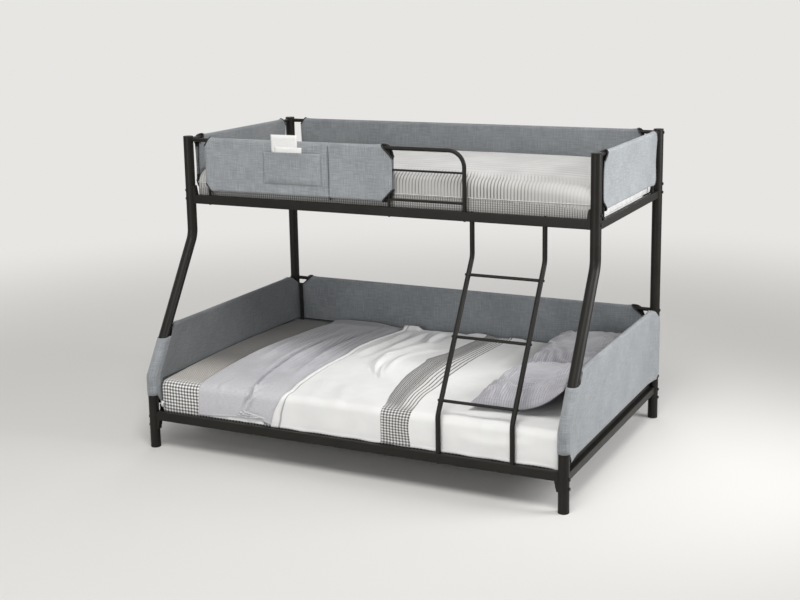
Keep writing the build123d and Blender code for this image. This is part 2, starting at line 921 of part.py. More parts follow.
for side, sign in sides.items():
    end_panel = sleeve(
        (sign * half_length, setback_y + end_sleeve_inset),
        True,
        back_y - setback_y - end_sleeve_inset - end_sleeve_inset,
        low_bar_height,
        guard_height,
        low_fold,
        top_fold,
        (plain_cut, plain_cut),
    )
    end_panel.label = f"upper_end_panel_{side}"
    export_step(end_panel, f"parts/upper_end_panel_{side}.step")

lower_back_panel = sleeve(
    (lower_sleeve_inset - half_length, back_y),
    False,
    post_spacing - lower_sleeve_inset - lower_sleeve_inset,
    panel_low_height,
    panel_top_height,
    top_fold,
    top_fold,
    (plain_cut, plain_cut),
)
lower_back_panel.label = "lower_back_panel"
export_step(lower_back_panel, "parts/lower_back_panel.step")

# Lower end panels wrap round the leg and the post as well as the bars
wrap_base = panel_low_height - top_fold - sleeve_wall
wrap_top = panel_top_height + top_fold + sleeve_wall
collar_top = wrap_top - wrap_collar_top_drop
collar_base = wrap_base + wrap_collar_bottom_rise


def wrap_section(x, height, wall):
    """Plan outline of the wrapped panel: a bulge at each post and a slimmer middle."""
    bulge = post_radius + fit_gap + wall
    reach = bulge / cos(leg_angle)
    web = top_fold + wall
    leg_centre = leg_y(height)
    with BuildSketch(Plane.XY.offset(height)) as outline:
        with BuildLine():
            EllipticalCenterArc((x, leg_centre), bulge, reach, start_angle=180, arc_size=90)
            EllipticalCenterArc((x, leg_centre), bulge, reach, start_angle=270, arc_size=90)
            Line((x + bulge, leg_centre), (x + web, leg_centre + wrap_taper))
            Line((x + web, leg_centre + wrap_taper), (x + web, back_y - wrap_taper))
            Line((x + web, back_y - wrap_taper), (x + bulge, back_y))
            EllipticalCenterArc((x, back_y), bulge, bulge, start_angle=0, arc_size=90)
            EllipticalCenterArc((x, back_y), bulge, bulge, start_angle=90, arc_size=90)
            Line((x - bulge, back_y), (x - web, back_y - wrap_taper))
            Line((x - web, back_y - wrap_taper), (x - web, leg_centre + wrap_taper))
            Line((x - web, leg_centre + wrap_taper), (x - bulge, leg_centre))
        make_face()
    return outline.sketch


def wrap_body(x, wall, base, top):
    sections = [
        wrap_section(x, base, wall),
        wrap_section(x, lower_bend_height, wall),
        wrap_section(x, top, wall),
    ]
    with BuildPart() as body:
        loft(sections=sections, ruled=True)
    return body.part


for side, sign in sides.items():
    wrap_x = sign * half_length
    bulge = post_radius + fit_gap + sleeve_wall
    slope_reach = bulge / cos(leg_angle)
    back_edge = back_y + bulge
    outline = [
        (front_y - slope_reach - overrun, collar_base),
        (front_y, collar_base),
        (front_y + wrap_front_cut, wrap_base),
        (back_edge - wrap_back_low_cut_along, wrap_base),
        (back_edge, wrap_base + wrap_back_low_cut_up),
        (back_edge, wrap_top - wrap_back_top_cut_up),
        (back_edge - wrap_back_top_cut_along, wrap_top),
        (leg_y(wrap_top) + slope_reach, wrap_top),
        (leg_y(collar_top) + slope_reach, collar_top),
        (front_y - slope_reach - overrun, collar_top),
    ]
    with BuildPart() as wrap:
        add(wrap_body(wrap_x, sleeve_wall, wrap_base, wrap_top))
        add(wrap_body(wrap_x, 0, wrap_base + sleeve_wall, wrap_top - sleeve_wall), mode=Mode.SUBTRACT)
        add(leg_clearance[side], mode=Mode.SUBTRACT)
        add(post_clearance[side], mode=Mode.SUBTRACT)
        with BuildSketch(Plane(origin=(wrap_x, 0, 0), x_dir=(0, 1, 0), z_dir=(1, 0, 0))):
            with BuildLine():
                Polyline(*outline, close=True)
            make_face()
        extrude(amount=post_diameter, both=True, mode=Mode.INTERSECT)
    wrap.part.label = f"lower_end_panel_{side}"
    export_step(wrap.part, f"parts/lower_end_panel_{side}.step")

# Storage pocket sewn on the front panel, with a booklet and a card standing in it
pocket_base = low_bar_height + pocket_bottom_rise
pocket_top = pocket_base + pocket_height
face_y = setback_y - top_fold - sleeve_wall
pocket_left_x = pocket_left_inset - half_length
pocket_middle_x = pocket_left_x + pocket_width / 2
pocket_front = face_y - pocket_depth
with BuildPart() as pocket:
    with BuildSketch(Plane.XZ.offset(-setback_y)):
        with Locations((pocket_middle_x, (pocket_base + pocket_top) / 2)):
            Rectangle(pocket_width, pocket_height)
    extrude(amount=setback_y - pocket_front)
    with BuildSketch(Plane.XZ.offset(-setback_y)):
        with Locations((pocket_middle_x, (pocket_base + pocket_top) / 2 + pocket_wall)):
            Rectangle(pocket_width - pocket_wall - pocket_wall, pocket_height)
    extrude(amount=setback_y - pocket_front - pocket_wall, mode=Mode.SUBTRACT)
    with BuildSketch(Plane.YZ.offset(pocket_left_x - overrun)):
        with Locations((setback_y, guard_height)):
            Circle(top_fold + sleeve_wall + fit_gap)
        with Locations((setback_y, low_bar_height)):
            Circle(low_fold + sleeve_wall + fit_gap)
        make_hull()
    extrude(amount=pocket_width + overrun + overrun, mode=Mode.SUBTRACT)
pocket.part.label = "storage_pocket"
export_step(pocket.part, "parts/storage_pocket.step")

paper_base = pocket_base + pocket_wall + fit_gap
paper_back = face_y - fit_gap
booklet_x = pocket_left_x + booklet_left_inset + booklet_width / 2
card_x = pocket_left_x + card_left_inset + card_width / 2
with BuildPart() as booklet:
    with BuildSketch(Plane.XZ.offset(-paper_back)):
        with Locations((booklet_x, paper_base + booklet_height / 2)):
            Rectangle(booklet_width, booklet_height)
    extrude(amount=booklet_thickness)
booklet.part.label = "booklet"
export_step(booklet.part, "parts/booklet.step")

card_back = paper_back - booklet_thickness - fit_gap
with BuildPart() as card:
    with BuildSketch(Plane.XZ.offset(-card_back)):
        with Locations((card_x, paper_base + card_height / 2)):
            Rectangle(card_width, card_height)
    extrude(amount=card_thickness)
card.part.label = "card"
export_step(card.part, "parts/card.step")


# Mattresses and covers: one crowned cross-section, drawn in towards the ends
quarter_turn = atan2(1, 0)
end_steps = 5


class Pad:
    def __init__(self, length, width, middle_y, base, side, crown):
        self.length = length
        self.width = width
        self.middle_y = middle_y
        self.base = base
        self.side = side
        self.crown = crown

    def section(self, x, draw, outset):
        """Cross-section at x, drawn in by draw and grown by outset."""
        half = self.width / 2 - draw + outset
        low = self.base + draw - outset
        shoulder = self.base + self.side - draw + outset
        crown = self.crown - draw / 2
        foot = base_radius
        knee = shoulder_radius
        edge = half - knee
        rise = shoulder + crown
        y = self.middle_y
        step = knee * (1 - cos(atan2(1, 1)))
        with BuildSketch(Plane(origin=(x, y, 0), x_dir=(0, 1, 0), z_dir=(1, 0, 0))) as outline:
            with BuildLine():
                Line((foot - half, low), (half - foot, low))
                ThreePointArc(
                    (half - foot, low),
                    (half - foot * (1 - cos(atan2(1, 1))), low + foot * (1 - cos(atan2(1, 1)))),
                    (half, low + foot),
                )
                Line((half, low + foot), (half, shoulder - knee))
                ThreePointArc((half, shoulder - knee), (half - step, shoulder - step), (edge, shoulder))
                ThreePointArc((edge, shoulder), (0, rise), (-edge, shoulder))
                ThreePointArc((-edge, shoulder), (step - half, shoulder - step), (-half, shoulder - knee))
                Line((-half, shoulder - knee), (-half, low + foot))
                ThreePointArc(
                    (-half, low + foot),
                    (foot * (1 - cos(atan2(1, 1))) - half, low + foot * (1 - cos(atan2(1, 1)))),
                    (foot - half, low),
                )
            make_face()
        return outline.sketch

    def end_sections(self, sign, outset):
        """Sections that draw the end in along a quarter of an ellipse."""
        straight = self.length / 2 - end_round
        turns = [quarter_turn * i / end_steps for i in range(end_steps + 1)]
        return [
            self.section(sign * (straight + end_round * sin(t)), end_draw * (1 - cos(t)), outset)
            for t in turns
        ]

    def body(self, outset, left_x, right_x, left_end, right_end):
        """Solid between two stations, with a rounded end where asked."""
        with BuildPart() as solid:
            extrude(self.section(left_x, 0, outset), amount=right_x - left_x)
            for sign, wanted in ((-1, left_end), (1, right_end)):
                if wanted:
                    loft(sections=self.end_sections(sign, outset), ruled=True)
        return solid.part

    def top(self, y, outset):
        """Height of the crown at a y, from the circle through its three points."""
        edge = self.width / 2 - shoulder_radius + outset
        radius = (edge**2 + self.crown**2) / (2 * self.crown)
        peak = self.base + self.side + outset + self.crown
        return peak - radius + sqrt(radius**2 - (y - self.middle_y) ** 2)


upper_pad = Pad(
    upper_mattress_length,
    upper_mattress_width,
    (setback_y + back_y) / 2,
    upper_rail_base + slat_top_offset + fit_gap,
    upper_mattress_side,
    upper_mattress_crown,
)
upper_mattress = upper_pad.body(
    0,
    end_round - upper_mattress_length / 2,
    upper_mattress_length / 2 - end_round,
    True,
    True,
)
upper_mattress.label = "upper_mattress"
export_step(upper_mattress, "parts/upper_mattress.step")

lower_pad = Pad(
    lower_mattress_length,
    lower_mattress_width,
    back_y - rail_width / 2 - lower_mattress_back_gap - lower_mattress_width / 2,
    lower_rail_base + slat_top_offset + fit_gap,
    lower_mattress_side,
    lower_mattress_crown,
)
lower_start = end_round - lower_mattress_length / 2
lower_end = lower_mattress_length / 2 - end_round
lower_mattress = lower_pad.body(0, lower_start, lower_end, True, True)
lower_mattress.label = "lower_mattress"
export_step(lower_mattress, "parts/lower_mattress.step")

cover_hem = lower_rail_top + cover_hem_gap
cover_back = lower_pad.middle_y + lower_mattress_width / 2 - cover_back_inset


def cover(outer, left_x, right_x, right_end):
    """Layer of bedding that lies on the mattress and hangs down at the front."""
    with BuildPart() as layer:
        add(lower_pad.body(outer, left_x, right_x, False, right_end))
        add(
            lower_pad.body(fit_gap, lower_start, lower_end, False, True),
            mode=Mode.SUBTRACT,
        )
        with BuildSketch(Plane.XY):
            Rectangle(post_spacing, frame_depth)
        extrude(amount=cover_hem, mode=Mode.SUBTRACT)
        with BuildSketch(Plane.XY):
            with Locations((0, cover_back)):
                Rectangle(post_spacing, frame_depth, align=(Align.CENTER, Align.MIN))
        extrude(amount=upper_rail_base, mode=Mode.SUBTRACT)
    return layer.part


blanket_left_x = blanket_left_inset - lower_mattress_length / 2
blanket_seam_x = blanket_left_x + blanket_width
grey_blanket = cover(blanket_thickness, blanket_left_x, blanket_seam_x, False)
grey_blanket.label = "grey_blanket"
export_step(grey_blanket, "parts/grey_blanket.step")

white_duvet = cover(duvet_thickness, blanket_seam_x + fit_gap, lower_end, True)
white_duvet.label = "white_duvet"
export_step(white_duvet, "parts/white_duvet.step")


def pillow(front_edge):
    """Crowned pillow, thin at its sewn edges and drawn in along its sides."""
    middle_y = front_edge + pillow_length / 2
    middle_x = half_length - pillow_end_gap - pillow_width / 2
    stations = 9
    sections = []
    for i in range(stations):
        share = 2 * i / (stations - 1) - 1
        fullness = 1 - share**4
        half = pillow_width / 2 - pillow_side_draw * fullness
        lift = pillow_edge / 2 + (pillow_top_swell - pillow_edge / 2) * sqrt(fullness)
        sink = pillow_edge / 2 + (pillow_bottom_swell - pillow_edge / 2) * sqrt(fullness)
        y = middle_y + share * pillow_length / 2
        seat = lower_pad.top(y, duvet_thickness) + pillow_clearance
        place = (middle_x, y, seat + pillow_bottom_swell)
        with BuildSketch(Plane(origin=place, x_dir=(-1, 0, 0), z_dir=(0, 1, 0))) as outline:
            with BuildLine():
                ThreePointArc((-half, 0), (0, lift), (half, 0))
                ThreePointArc((half, 0), (0, -sink), (-half, 0))
            make_face()
        sections.append(outline.sketch)
    with BuildPart() as body:
        loft(sections=sections, ruled=True)
    return body.part


front_pillow = pillow(pillow_front_y)
front_pillow.label = "front_pillow"
export_step(front_pillow, "parts/front_pillow.step")
back_pillow = pillow(pillow_front_y + pillow_length + pillow_gap)
back_pillow.label = "back_pillow"
export_step(back_pillow, "parts/back_pillow.step")
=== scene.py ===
import json
from math import ceil, cos, pi, radians, sin, sqrt

import bmesh
import bpy
import numpy as np
from mathutils import Matrix, Vector, noise


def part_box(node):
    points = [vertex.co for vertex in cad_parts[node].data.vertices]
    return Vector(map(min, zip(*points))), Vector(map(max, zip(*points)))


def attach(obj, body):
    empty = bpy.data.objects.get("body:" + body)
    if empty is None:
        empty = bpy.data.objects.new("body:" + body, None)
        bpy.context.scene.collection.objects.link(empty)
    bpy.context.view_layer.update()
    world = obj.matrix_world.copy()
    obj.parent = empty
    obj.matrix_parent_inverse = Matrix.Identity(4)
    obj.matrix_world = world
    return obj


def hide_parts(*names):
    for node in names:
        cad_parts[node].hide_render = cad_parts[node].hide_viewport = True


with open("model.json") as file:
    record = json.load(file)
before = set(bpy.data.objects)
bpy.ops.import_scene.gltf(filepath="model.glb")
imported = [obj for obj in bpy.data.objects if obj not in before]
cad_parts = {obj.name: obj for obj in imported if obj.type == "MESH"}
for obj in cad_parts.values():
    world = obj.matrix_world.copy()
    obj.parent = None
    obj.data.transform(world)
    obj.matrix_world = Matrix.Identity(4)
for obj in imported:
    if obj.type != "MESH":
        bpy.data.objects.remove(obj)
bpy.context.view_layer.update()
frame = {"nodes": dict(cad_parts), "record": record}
print("frame loaded:", len(frame["nodes"]), "nodes")

# Camera, solved from the straight tubes in the photograph
camera = {
    "place": (2.722, -5.606, 2.150),
    "lens": 60,
    "sensor": 36,
    "yaw": 26.211,
    "pitch": 11.503,
    "roll": -0.993,
    "shiftY": -0.05625,
}
yaw, pitch, roll = (radians(camera[k]) for k in ("yaw", "pitch", "roll"))
ahead = Vector((-sin(yaw) * cos(pitch), cos(yaw) * cos(pitch), -sin(pitch)))
level = Vector((cos(yaw), sin(yaw), 0))
upright = level.cross(ahead)
sideways = level * cos(roll) + upright * sin(roll)
upwards = upright * cos(roll) - level * sin(roll)
cameraData = bpy.data.cameras.new("photo_camera")
cameraData.lens = camera["lens"]
cameraData.sensor_width = camera["sensor"]
cameraData.shift_y = camera["shiftY"]
cameraObject = bpy.data.objects.new("photo_camera", cameraData)
turn = Matrix((sideways, upwards, -ahead)).transposed().to_4x4()
cameraObject.matrix_world = Matrix.Translation(camera["place"]) @ turn
bpy.context.scene.collection.objects.link(cameraObject)
bpy.context.scene.camera = cameraObject
print("camera placed")


# Materials
class Wire:
    # an output socket; arithmetic on it adds Math nodes
    def __init__(self, shading, socket):
        self.shading = shading
        self.socket = socket

    def math(self, operation, a, b=0.0):
        return self.shading.node("Math", {"operation": operation}, {0: a, 1: b})

    def __add__(self, other):
        return self.math("ADD", self, other)

    def __sub__(self, other):
        return self.math("SUBTRACT", self, other)

    def __rsub__(self, other):
        return self.math("SUBTRACT", other, self)

    def __mul__(self, other):
        return self.math("MULTIPLY", self, other)

    __radd__ = __add__
    __rmul__ = __mul__

    def larger(self, other):
        return self.math("MAXIMUM", self, other)

    def smaller(self, other):
        return self.math("MINIMUM", self, other)

    def distance(self, centre):
        return self.math("ABSOLUTE", self - centre)

    def zigzag(self, height):
        return self.math("PINGPONG", self, height)

    def step(self, low, high):
        # 0 below low, 1 above high, smooth between; reversed if low > high
        flipped = low > high
        return self.shading.node(
            "MapRange",
            {"interpolation_type": "SMOOTHSTEP"},
            {0: self, 1: min(low, high), 2: max(low, high), 3: float(flipped), 4: float(not flipped)},
        )

    def lines(self, pitch, width, soft=0.25):
        # 1 on lines of a width repeated at a pitch
        return self.zigzag(pitch / 2).step(width * (0.5 + soft), width * (0.5 - soft))


class Shading:
    def __init__(self, tree):
        self.tree = tree

    def node(self, kind, settings, sockets, output=0):
        made = self.tree.nodes.new("ShaderNode" + kind)
        for key, value in settings.items():
            setattr(made, key, value)
        for key, value in sockets.items():
            if isinstance(value, Wire):
                self.tree.links.new(value.socket, made.inputs[key])
            else:
                made.inputs[key].default_value = value
        return Wire(self, made.outputs[output])

    def endIn(self, wire):
        ends = [n for n in self.tree.nodes if n.bl_idname.startswith("ShaderNodeOutput")]
        self.tree.links.new(wire.socket, ends[0].inputs["Surface"])


class Paint(Shading):
    def __init__(self, name, constants):
        self.material = bpy.data.materials.new(name)
        self.material.use_nodes = True
        super().__init__(self.material.node_tree)
        self.shader = self.tree.nodes["Principled BSDF"]
        for key, value in constants.items():
            self.shader.inputs[key].default_value = value

    def give(self, socket, wire):
        self.tree.links.new(wire.socket, self.shader.inputs[socket])

    def place(self):
        return self.node("TexCoord", {}, {}, "Object")

    def flat(self, layer="cut"):
        # metres across the cloth, as it was cut
        return self.node("UVMap", {"uv_map": layer}, {})

    def axes(self, vector):
        return [self.node("SeparateXYZ", {}, {0: vector}, axis) for axis in "XY"]

    def scaled(self, vector, factors):
        return self.node("VectorMath", {"operation": "MULTIPLY"}, {0: vector, 1: (*factors, 1.0)})

    def grain(self, vector, scale, detail=3.0, rough=0.55):
        sockets = {"Vector": vector, "Scale": scale, "Detail": detail, "Roughness": rough}
        return self.node("TexNoise", {}, sockets)

    def mix(self, factor, a, b):
        colours = [v if isinstance(v, Wire) else (*v, 1) for v in (a, b)]
        return self.node("Mix", {"data_type": "RGBA"}, {0: factor, 6: colours[0], 7: colours[1]}, 2)

    def surface(self, colour, roughness, height, depth, strength):
        self.give("Base Color", colour)
        self.give("Roughness", roughness)
        sockets = {"Height": height, "Distance": depth, "Strength": strength}
        self.give("Normal", self.node("Bump", {}, sockets))


def metalPaint(name, dark, light, roughness):
    paint = Paint(name, {"Metallic": 0.0, "Specular IOR Level": 0.2})
    spot = paint.place()
    cloud = paint.grain(spot, 6.0)
    peel = paint.grain(spot, 900.0, 2.0)
    colour = paint.mix((cloud - 0.3) * 2.0, dark, light)
    paint.surface(colour, roughness - 0.05 + cloud * 0.1, peel, 0.0002, 0.5)
    return paint


def startCloth(name, sheen):
    # a cloth's paint, its flat coordinates and their two axes
    paint = Paint(name, {"Sheen Weight": sheen, "Sheen Roughness": 0.5})
    cut = paint.flat()
    return paint, cut, *paint.axes(cut)


# heathered chambray: crossed streaks of light and dark yarn
panelLook = {
    "dark": (0.205, 0.221, 0.235),
    "light": (0.312, 0.331, 0.346),
    "slub": (0.41, 0.43, 0.446),
    "along": (17.0, 185.0),
    "across": (200.0, 15.0),
    "thread": 0.0009,
}


def panelPaint(name, share):
    # share darkens all the colours; copies made with less than 1 paint shade
    dark, light, slub = (tuple(v * share for v in panelLook[k]) for k in ("dark", "light", "slub"))
    paint, cut, u, v = startCloth(name, 0.2)
    yarns = (paint.scaled(cut, panelLook[k]) for k in ("along", "across"))
    along, across = (paint.grain(yarn, 1.0, 3.0, 0.6) for yarn in yarns)
    cloud = paint.grain(cut, 5.0, 2.0)
    fuzz = paint.grain(cut, 420.0, 2.0)
    streaks = (along + across) * 0.5 + (cloud - 0.5) * 0.3 + (fuzz - 0.5) * 0.12
    slubs = along.larger(across).step(0.62, 0.78)
    colour = paint.mix(slubs * 0.42, paint.mix(streaks.step(0.33, 0.69), dark, light), slub)
    weave = u.zigzag(panelLook["thread"]) + v.zigzag(panelLook["thread"])
    paint.surface(colour, 0.82 + fuzz * 0.14, weave * 500.0 + streaks * 1.2, 0.0006, 0.7)
    return paint


def plainCloth(name, dark, light, scale, depth, thread=0.0006):
    paint, cut, u, v = startCloth(name, 0.2)
    cloud = paint.grain(cut, scale, 4.0)
    fuzz = paint.grain(cut, 500.0, 2.0)
    weave = u.zigzag(thread) + v.zigzag(thread)
    colour = paint.mix(cloud.step(0.3, 0.7), dark, light)
    paint.surface(colour, 0.8 + fuzz * 0.15, weave * 700.0 + fuzz, depth, 0.6)
    return paint


# fine lilac-grey cloth with faint crossed threads; painted light makes it paler on its front and painted
# shadow darker towards the back
blanketLook = {
    "dark": (0.355, 0.35, 0.375),
    "light": (0.43, 0.424, 0.455),
    "front": (0.505, 0.5, 0.525),
    "back": (0.195, 0.192, 0.208),
    "crease": (0.13, 0.127, 0.14),
    "thread": (0.57, 0.57, 0.6),
    "slub": (0.22, 0.216, 0.238),
    "pitchAcross": 0.0095,
    "pitchAlong": 0.0115,
    "threadWidth": 0.0030,
    "frontFade": (-0.42, -0.72),
    "backFade": (-0.17, 0.17),
}


def blanketPaint():
    look = blanketLook
    paint, cut, u, v = startCloth("blanket_cloth", 0.3)
    wobble = paint.grain(cut, 30.0, 2.0) * 0.004
    threads = (u + wobble).lines(look["pitchAcross"], look["threadWidth"])
    threads = threads.larger((v + wobble).lines(look["pitchAlong"], look["threadWidth"]))
    cloud = paint.grain(cut, 7.0, 3.0)
    slubs = paint.grain(paint.scaled(cut, (60.0, 420.0)), 1.0, 3.0)
    # the second layer holds how deep in a crease each spot lies, for painted shade in the creases
    deep, _ = paint.axes(paint.flat("band"))
    tone = paint.mix(cloud.step(0.3, 0.7), look["dark"], look["light"])
    # painted light on the front, painted shadow towards the back
    tone = paint.mix(v.step(*look["frontFade"]), tone, look["front"])
    tone = paint.mix(v.step(*look["backFade"]) * 0.93, tone, look["back"])
    # painted shade in the creases
    tone = paint.mix(deep * 0.55, tone, look["crease"])
    tone = paint.mix(threads * 0.28, tone, look["thread"])
    tone = paint.mix(slubs.step(0.45, 0.75) * 0.4, tone, look["slub"])
    paint.surface(tone, 0.84 + slubs * 0.1, threads + slubs, 0.0005, 0.5)
    return paint


# white cotton; the woven band lies between 0 and 1 of the second layer
duvetLook = {
    "dark": (0.70, 0.70, 0.694),
    "light": (0.755, 0.755, 0.746),
    "bandPale": (0.72, 0.715, 0.7),
    "bandGrey": (0.3, 0.295, 0.285),
    "check": (0.035, 0.033, 0.032),
    "crease": (0.2, 0.195, 0.2),
    "overlapShadow": (0.07, 0.068, 0.065),
    "checks": 9.3,
    "checkPitch": 0.0125,
    "ladderPitch": 0.011,
    "frontFade": (-0.56, -0.64),
    "rollStart": -2.0,
    "rollEnd": -1.62,
    "thread": 0.0007,
}


def duvetPaint():
    look = duvetLook
    paint, cut, u, v = startCloth("duvet_cloth", 0.15)
    band, depth = paint.axes(paint.flat("band"))
    wobble = (paint.grain(cut, 55.0, 2.0) - 0.5) * 0.035
    crease = (paint.grain(paint.scaled(cut, (9.0, 3.0)), 4.0, 3.0) - 0.5) * 0.012
    wavy = band + wobble
    inside = (band + wobble * 0.4).step(-0.004, 0.004) * band.step(1.004, 0.996)
    front = depth.step(*look["frontFade"])
    # gingham down the front
    column = 1 / look["checks"]
    warp = (band + wobble * 0.2).lines(column, 0.056, 0.2)
    weft = (depth + crease * 0.4).lines(look["checkPitch"], 0.0064, 0.2)
    gingham = ((warp + weft) * 0.62).smaller(1.0)
    # crowded lines and ladders on the top, thin lines at its right
    leftPart = wavy.step(0.62, 0.42)
    crowd = wavy.lines(column / 2, 0.027)
    thin = (band + wobble * 0.6).lines(column, 0.034)
    ladder = (depth + crease).lines(look["ladderPitch"], 0.005, 0.2) * (band * 3.1).lines(1.0, 0.4, 0.4)
    topLines = (leftPart * crowd).larger(thin).larger(ladder * leftPart * 0.6)
    ink = front * gingham + (1 - front) * topLines
    cloud = paint.grain(cut, 4.0, 3.0)
    white = paint.mix(cloud.step(0.35, 0.65), look["dark"], look["light"])
    shade = (1 - front) * (0.12 + leftPart * 0.45)
    ground = paint.mix(shade, look["bandPale"], look["bandGrey"])
    checked = paint.mix(ink * 0.93, ground, look["check"])
    # painted shadow: a dark line along the band's ragged left edge on the top, where the white cloth's edge
    # lies over it
    overlapShadow = wavy.step(-0.05, 0.0) * wavy.step(0.035, 0.0)
    # painted shade: dark lines on both sides of the rolled edge, where its creases lie in shadow
    rolled = band.distance(look["rollEnd"]).step(0.06, 0.02)
    rolled = rolled.larger((band - look["rollStart"]).step(0.05, 0.0)) * 0.7
    white = paint.mix(rolled, white, look["crease"])
    tone = paint.mix(inside, white, checked)
    tone = paint.mix(overlapShadow * depth.step(-0.62, -0.5) * 0.8, tone, look["overlapShadow"])
    fuzz = paint.grain(cut, 450.0, 2.0)
    weave = u.zigzag(look["thread"]) + v.zigzag(look["thread"])
    paint.surface(tone, 0.78 + fuzz * 0.15, weave * 500.0 + fuzz * 0.4 + inside * ink, 0.0005, 0.5)
    return paint


# pale cover: dark ribs up the sides that fade on the top, a grid below the middle seam
mattressLook = {
    "dark": (0.51, 0.507, 0.5),
    "light": (0.59, 0.587, 0.578),
    "side": (0.46, 0.452, 0.438),
    "rib": (0.1, 0.097, 0.092),
    "ribPitch": 0.0158,
    "finePitch": 0.0114,
    "rowPitch": 0.0108,
    "topPitch": 0.052,
    "seam": 0.10,
    "shoulder": 0.20,
    "fade": 0.37,
    "back": 1.3,
    "lean": 0.35,
}


def mattressPaint():
    look = mattressLook
    paint, cut, u, v = startCloth("mattress_cloth", 0.15)
    bend = (paint.grain(cut, 7.0, 2.0) - 0.5) * 0.01
    lean = (v - look["shoulder"]).larger(0.0) * look["lean"]
    ribs = (u + bend * 0.4 + lean).lines(look["ribPitch"], 0.0056, 0.18)
    border = (paint.grain(cut, 22.0, 2.0) - 0.5) * 0.05
    below = (v + border).step(look["seam"], look["seam"] - 0.012)
    columns = (u + bend * 0.3).lines(look["finePitch"], 0.0046, 0.2) * 0.85
    rows = (v + bend * 0.6).lines(look["rowPitch"], 0.0036, 0.2) * 0.6
    lattice = columns.larger(rows) * below
    near = v.step(look["fade"], look["shoulder"]).larger(v.step(look["back"], look["back"] + 0.02))
    patch = paint.grain(cut, 3.0, 2.0).step(0.35, 0.6)
    # the ribs thin out towards the pillow end
    kept = 1 - u.step(0.6, 0.95) * v.step(0.04, 0.16) * 0.85
    faint = near * (0.4 + patch * 0.6) * kept
    stripes = (v + bend * 0.5).lines(look["topPitch"], 0.016, 0.5) * (1 - near) * 0.22
    slanted = (u + v * 0.8).lines(look["ribPitch"], 0.005)
    slanted = slanted * paint.grain(cut, 4.0, 2.0).step(0.55, 0.7) * (1 - near) * 0.42
    ink = (ribs * faint * 0.9 * (1 - below)).larger(lattice * kept).larger(stripes).larger(slanted)
    cloud = paint.grain(cut, 5.0, 3.0)
    pale = paint.mix(cloud.step(0.3, 0.7), look["dark"], look["light"])
    tone = paint.mix(ink, paint.mix(v.step(0.27, 0.1), pale, look["side"]), look["rib"])
    fuzz = paint.grain(cut, 450.0, 2.0)
    paint.surface(tone, 0.8 + fuzz * 0.15, fuzz * 0.4 - ribs * faint - stripes, 0.0012, 0.6)
    return paint


# small check on the sheet's sides, a fine beige-grey weave on its top, with painted shadow making the top
# darker towards the back
sheetLook = {
    "white": (0.82, 0.815, 0.8),
    "check": (0.03, 0.028, 0.027),
    "topFront": (0.64, 0.608, 0.565),
    "topBackShadow": (0.135, 0.128, 0.118),
    "topThread": (0.05, 0.047, 0.043),
    "edgeWhite": (0.66, 0.65, 0.63),
    "edgeCheck": (0.07, 0.066, 0.062),
    "checkAcross": (0.0166, 0.0082, 0.15),
    "checkUp": (0.0158, 0.0076, 0.15),
    "topWeave": (0.0125, 0.0054, 0.2),
    "topShadowFade": (0.3, 0.64),
}


def sheetPaint():
    look = sheetLook
    paint, cut, u, v = startCloth("check_sheet", 0.15)
    bend = (paint.grain(cut, 12.0, 2.0) - 0.5) * 0.006
    across, along = u + bend, v + bend
    bold = ((across.lines(*look["checkAcross"]) + along.lines(*look["checkUp"])) * 0.64).smaller(1.0)
    fine = across.lines(*look["topWeave"]).larger(along.lines(*look["topWeave"]))
    top = v.step(0.185, 0.25) * v.step(1.5, 1.45)
    edge = v.step(0.165, 0.20) * v.step(1.53, 1.49)
    sides = paint.mix(bold * 0.95, look["white"], look["check"])
    rim = paint.mix(bold * 0.7, look["edgeWhite"], look["edgeCheck"])
    # painted shadow: the top darkens from its front towards the back
    light = paint.mix(v.step(*look["topShadowFade"]), look["topFront"], look["topBackShadow"])
    tone = paint.mix(top, paint.mix(edge, sides, rim), paint.mix(fine * 0.66, light, look["topThread"]))
    fuzz = paint.grain(cut, 450.0, 2.0)
    paint.surface(tone, 0.8 + fuzz * 0.15, fuzz * 0.5 - bold * 0.6, 0.0006, 0.6)
    return paint


# crinkled seersucker: puckered stripes between flat ones
pillowLook = {
    "dark": (0.335, 0.33, 0.36),
    "light": (0.42, 0.415, 0.445),
    "stripe": (0.2, 0.197, 0.222),
    "cross": (0.24, 0.237, 0.262),
    "pucker": (0.54, 0.538, 0.565),
    "stripeLines": (0.0112, 0.004, 0.5),
    "crossLines": (0.0108, 0.003, 0.5),
}


def pillowPaint():
    look = pillowLook
    paint, cut, u, v = startCloth("crinkled_cotton", 0.3)
    bend = (paint.grain(cut, 14.0, 2.0) - 0.5) * 0.008
    stripes = (u + bend).lines(*look["stripeLines"])
    cross = (v + bend).lines(*look["crossLines"])
    pucker = paint.grain(paint.scaled(cut, (190.0, 70.0)), 1.0, 3.0)
    cloud = paint.grain(cut, 8.0, 3.0)
    tone = paint.mix(cloud.step(0.3, 0.7), look["dark"], look["light"])
    tone = paint.mix(stripes * 0.6, tone, look["stripe"])
    tone = paint.mix(cross * 0.3, tone, look["cross"])
    tone = paint.mix(pucker.step(0.5, 0.8) * 0.4, tone, look["pucker"])
    paint.surface(tone, 0.82 + pucker * 0.12, pucker * 1.4 - stripes, 0.0016, 0.8)
    return paint


def paperPaint(dark, light):
    paint = Paint("white_paper", {"Specular IOR Level": 0.3})
    fibre = paint.grain(paint.place(), 160.0, 4.0)
    colour = paint.mix(fibre.step(0.3, 0.7), dark, light)
    paint.surface(colour, 0.6 + fibre * 0.2, fibre, 0.0001, 0.4)
    return paint


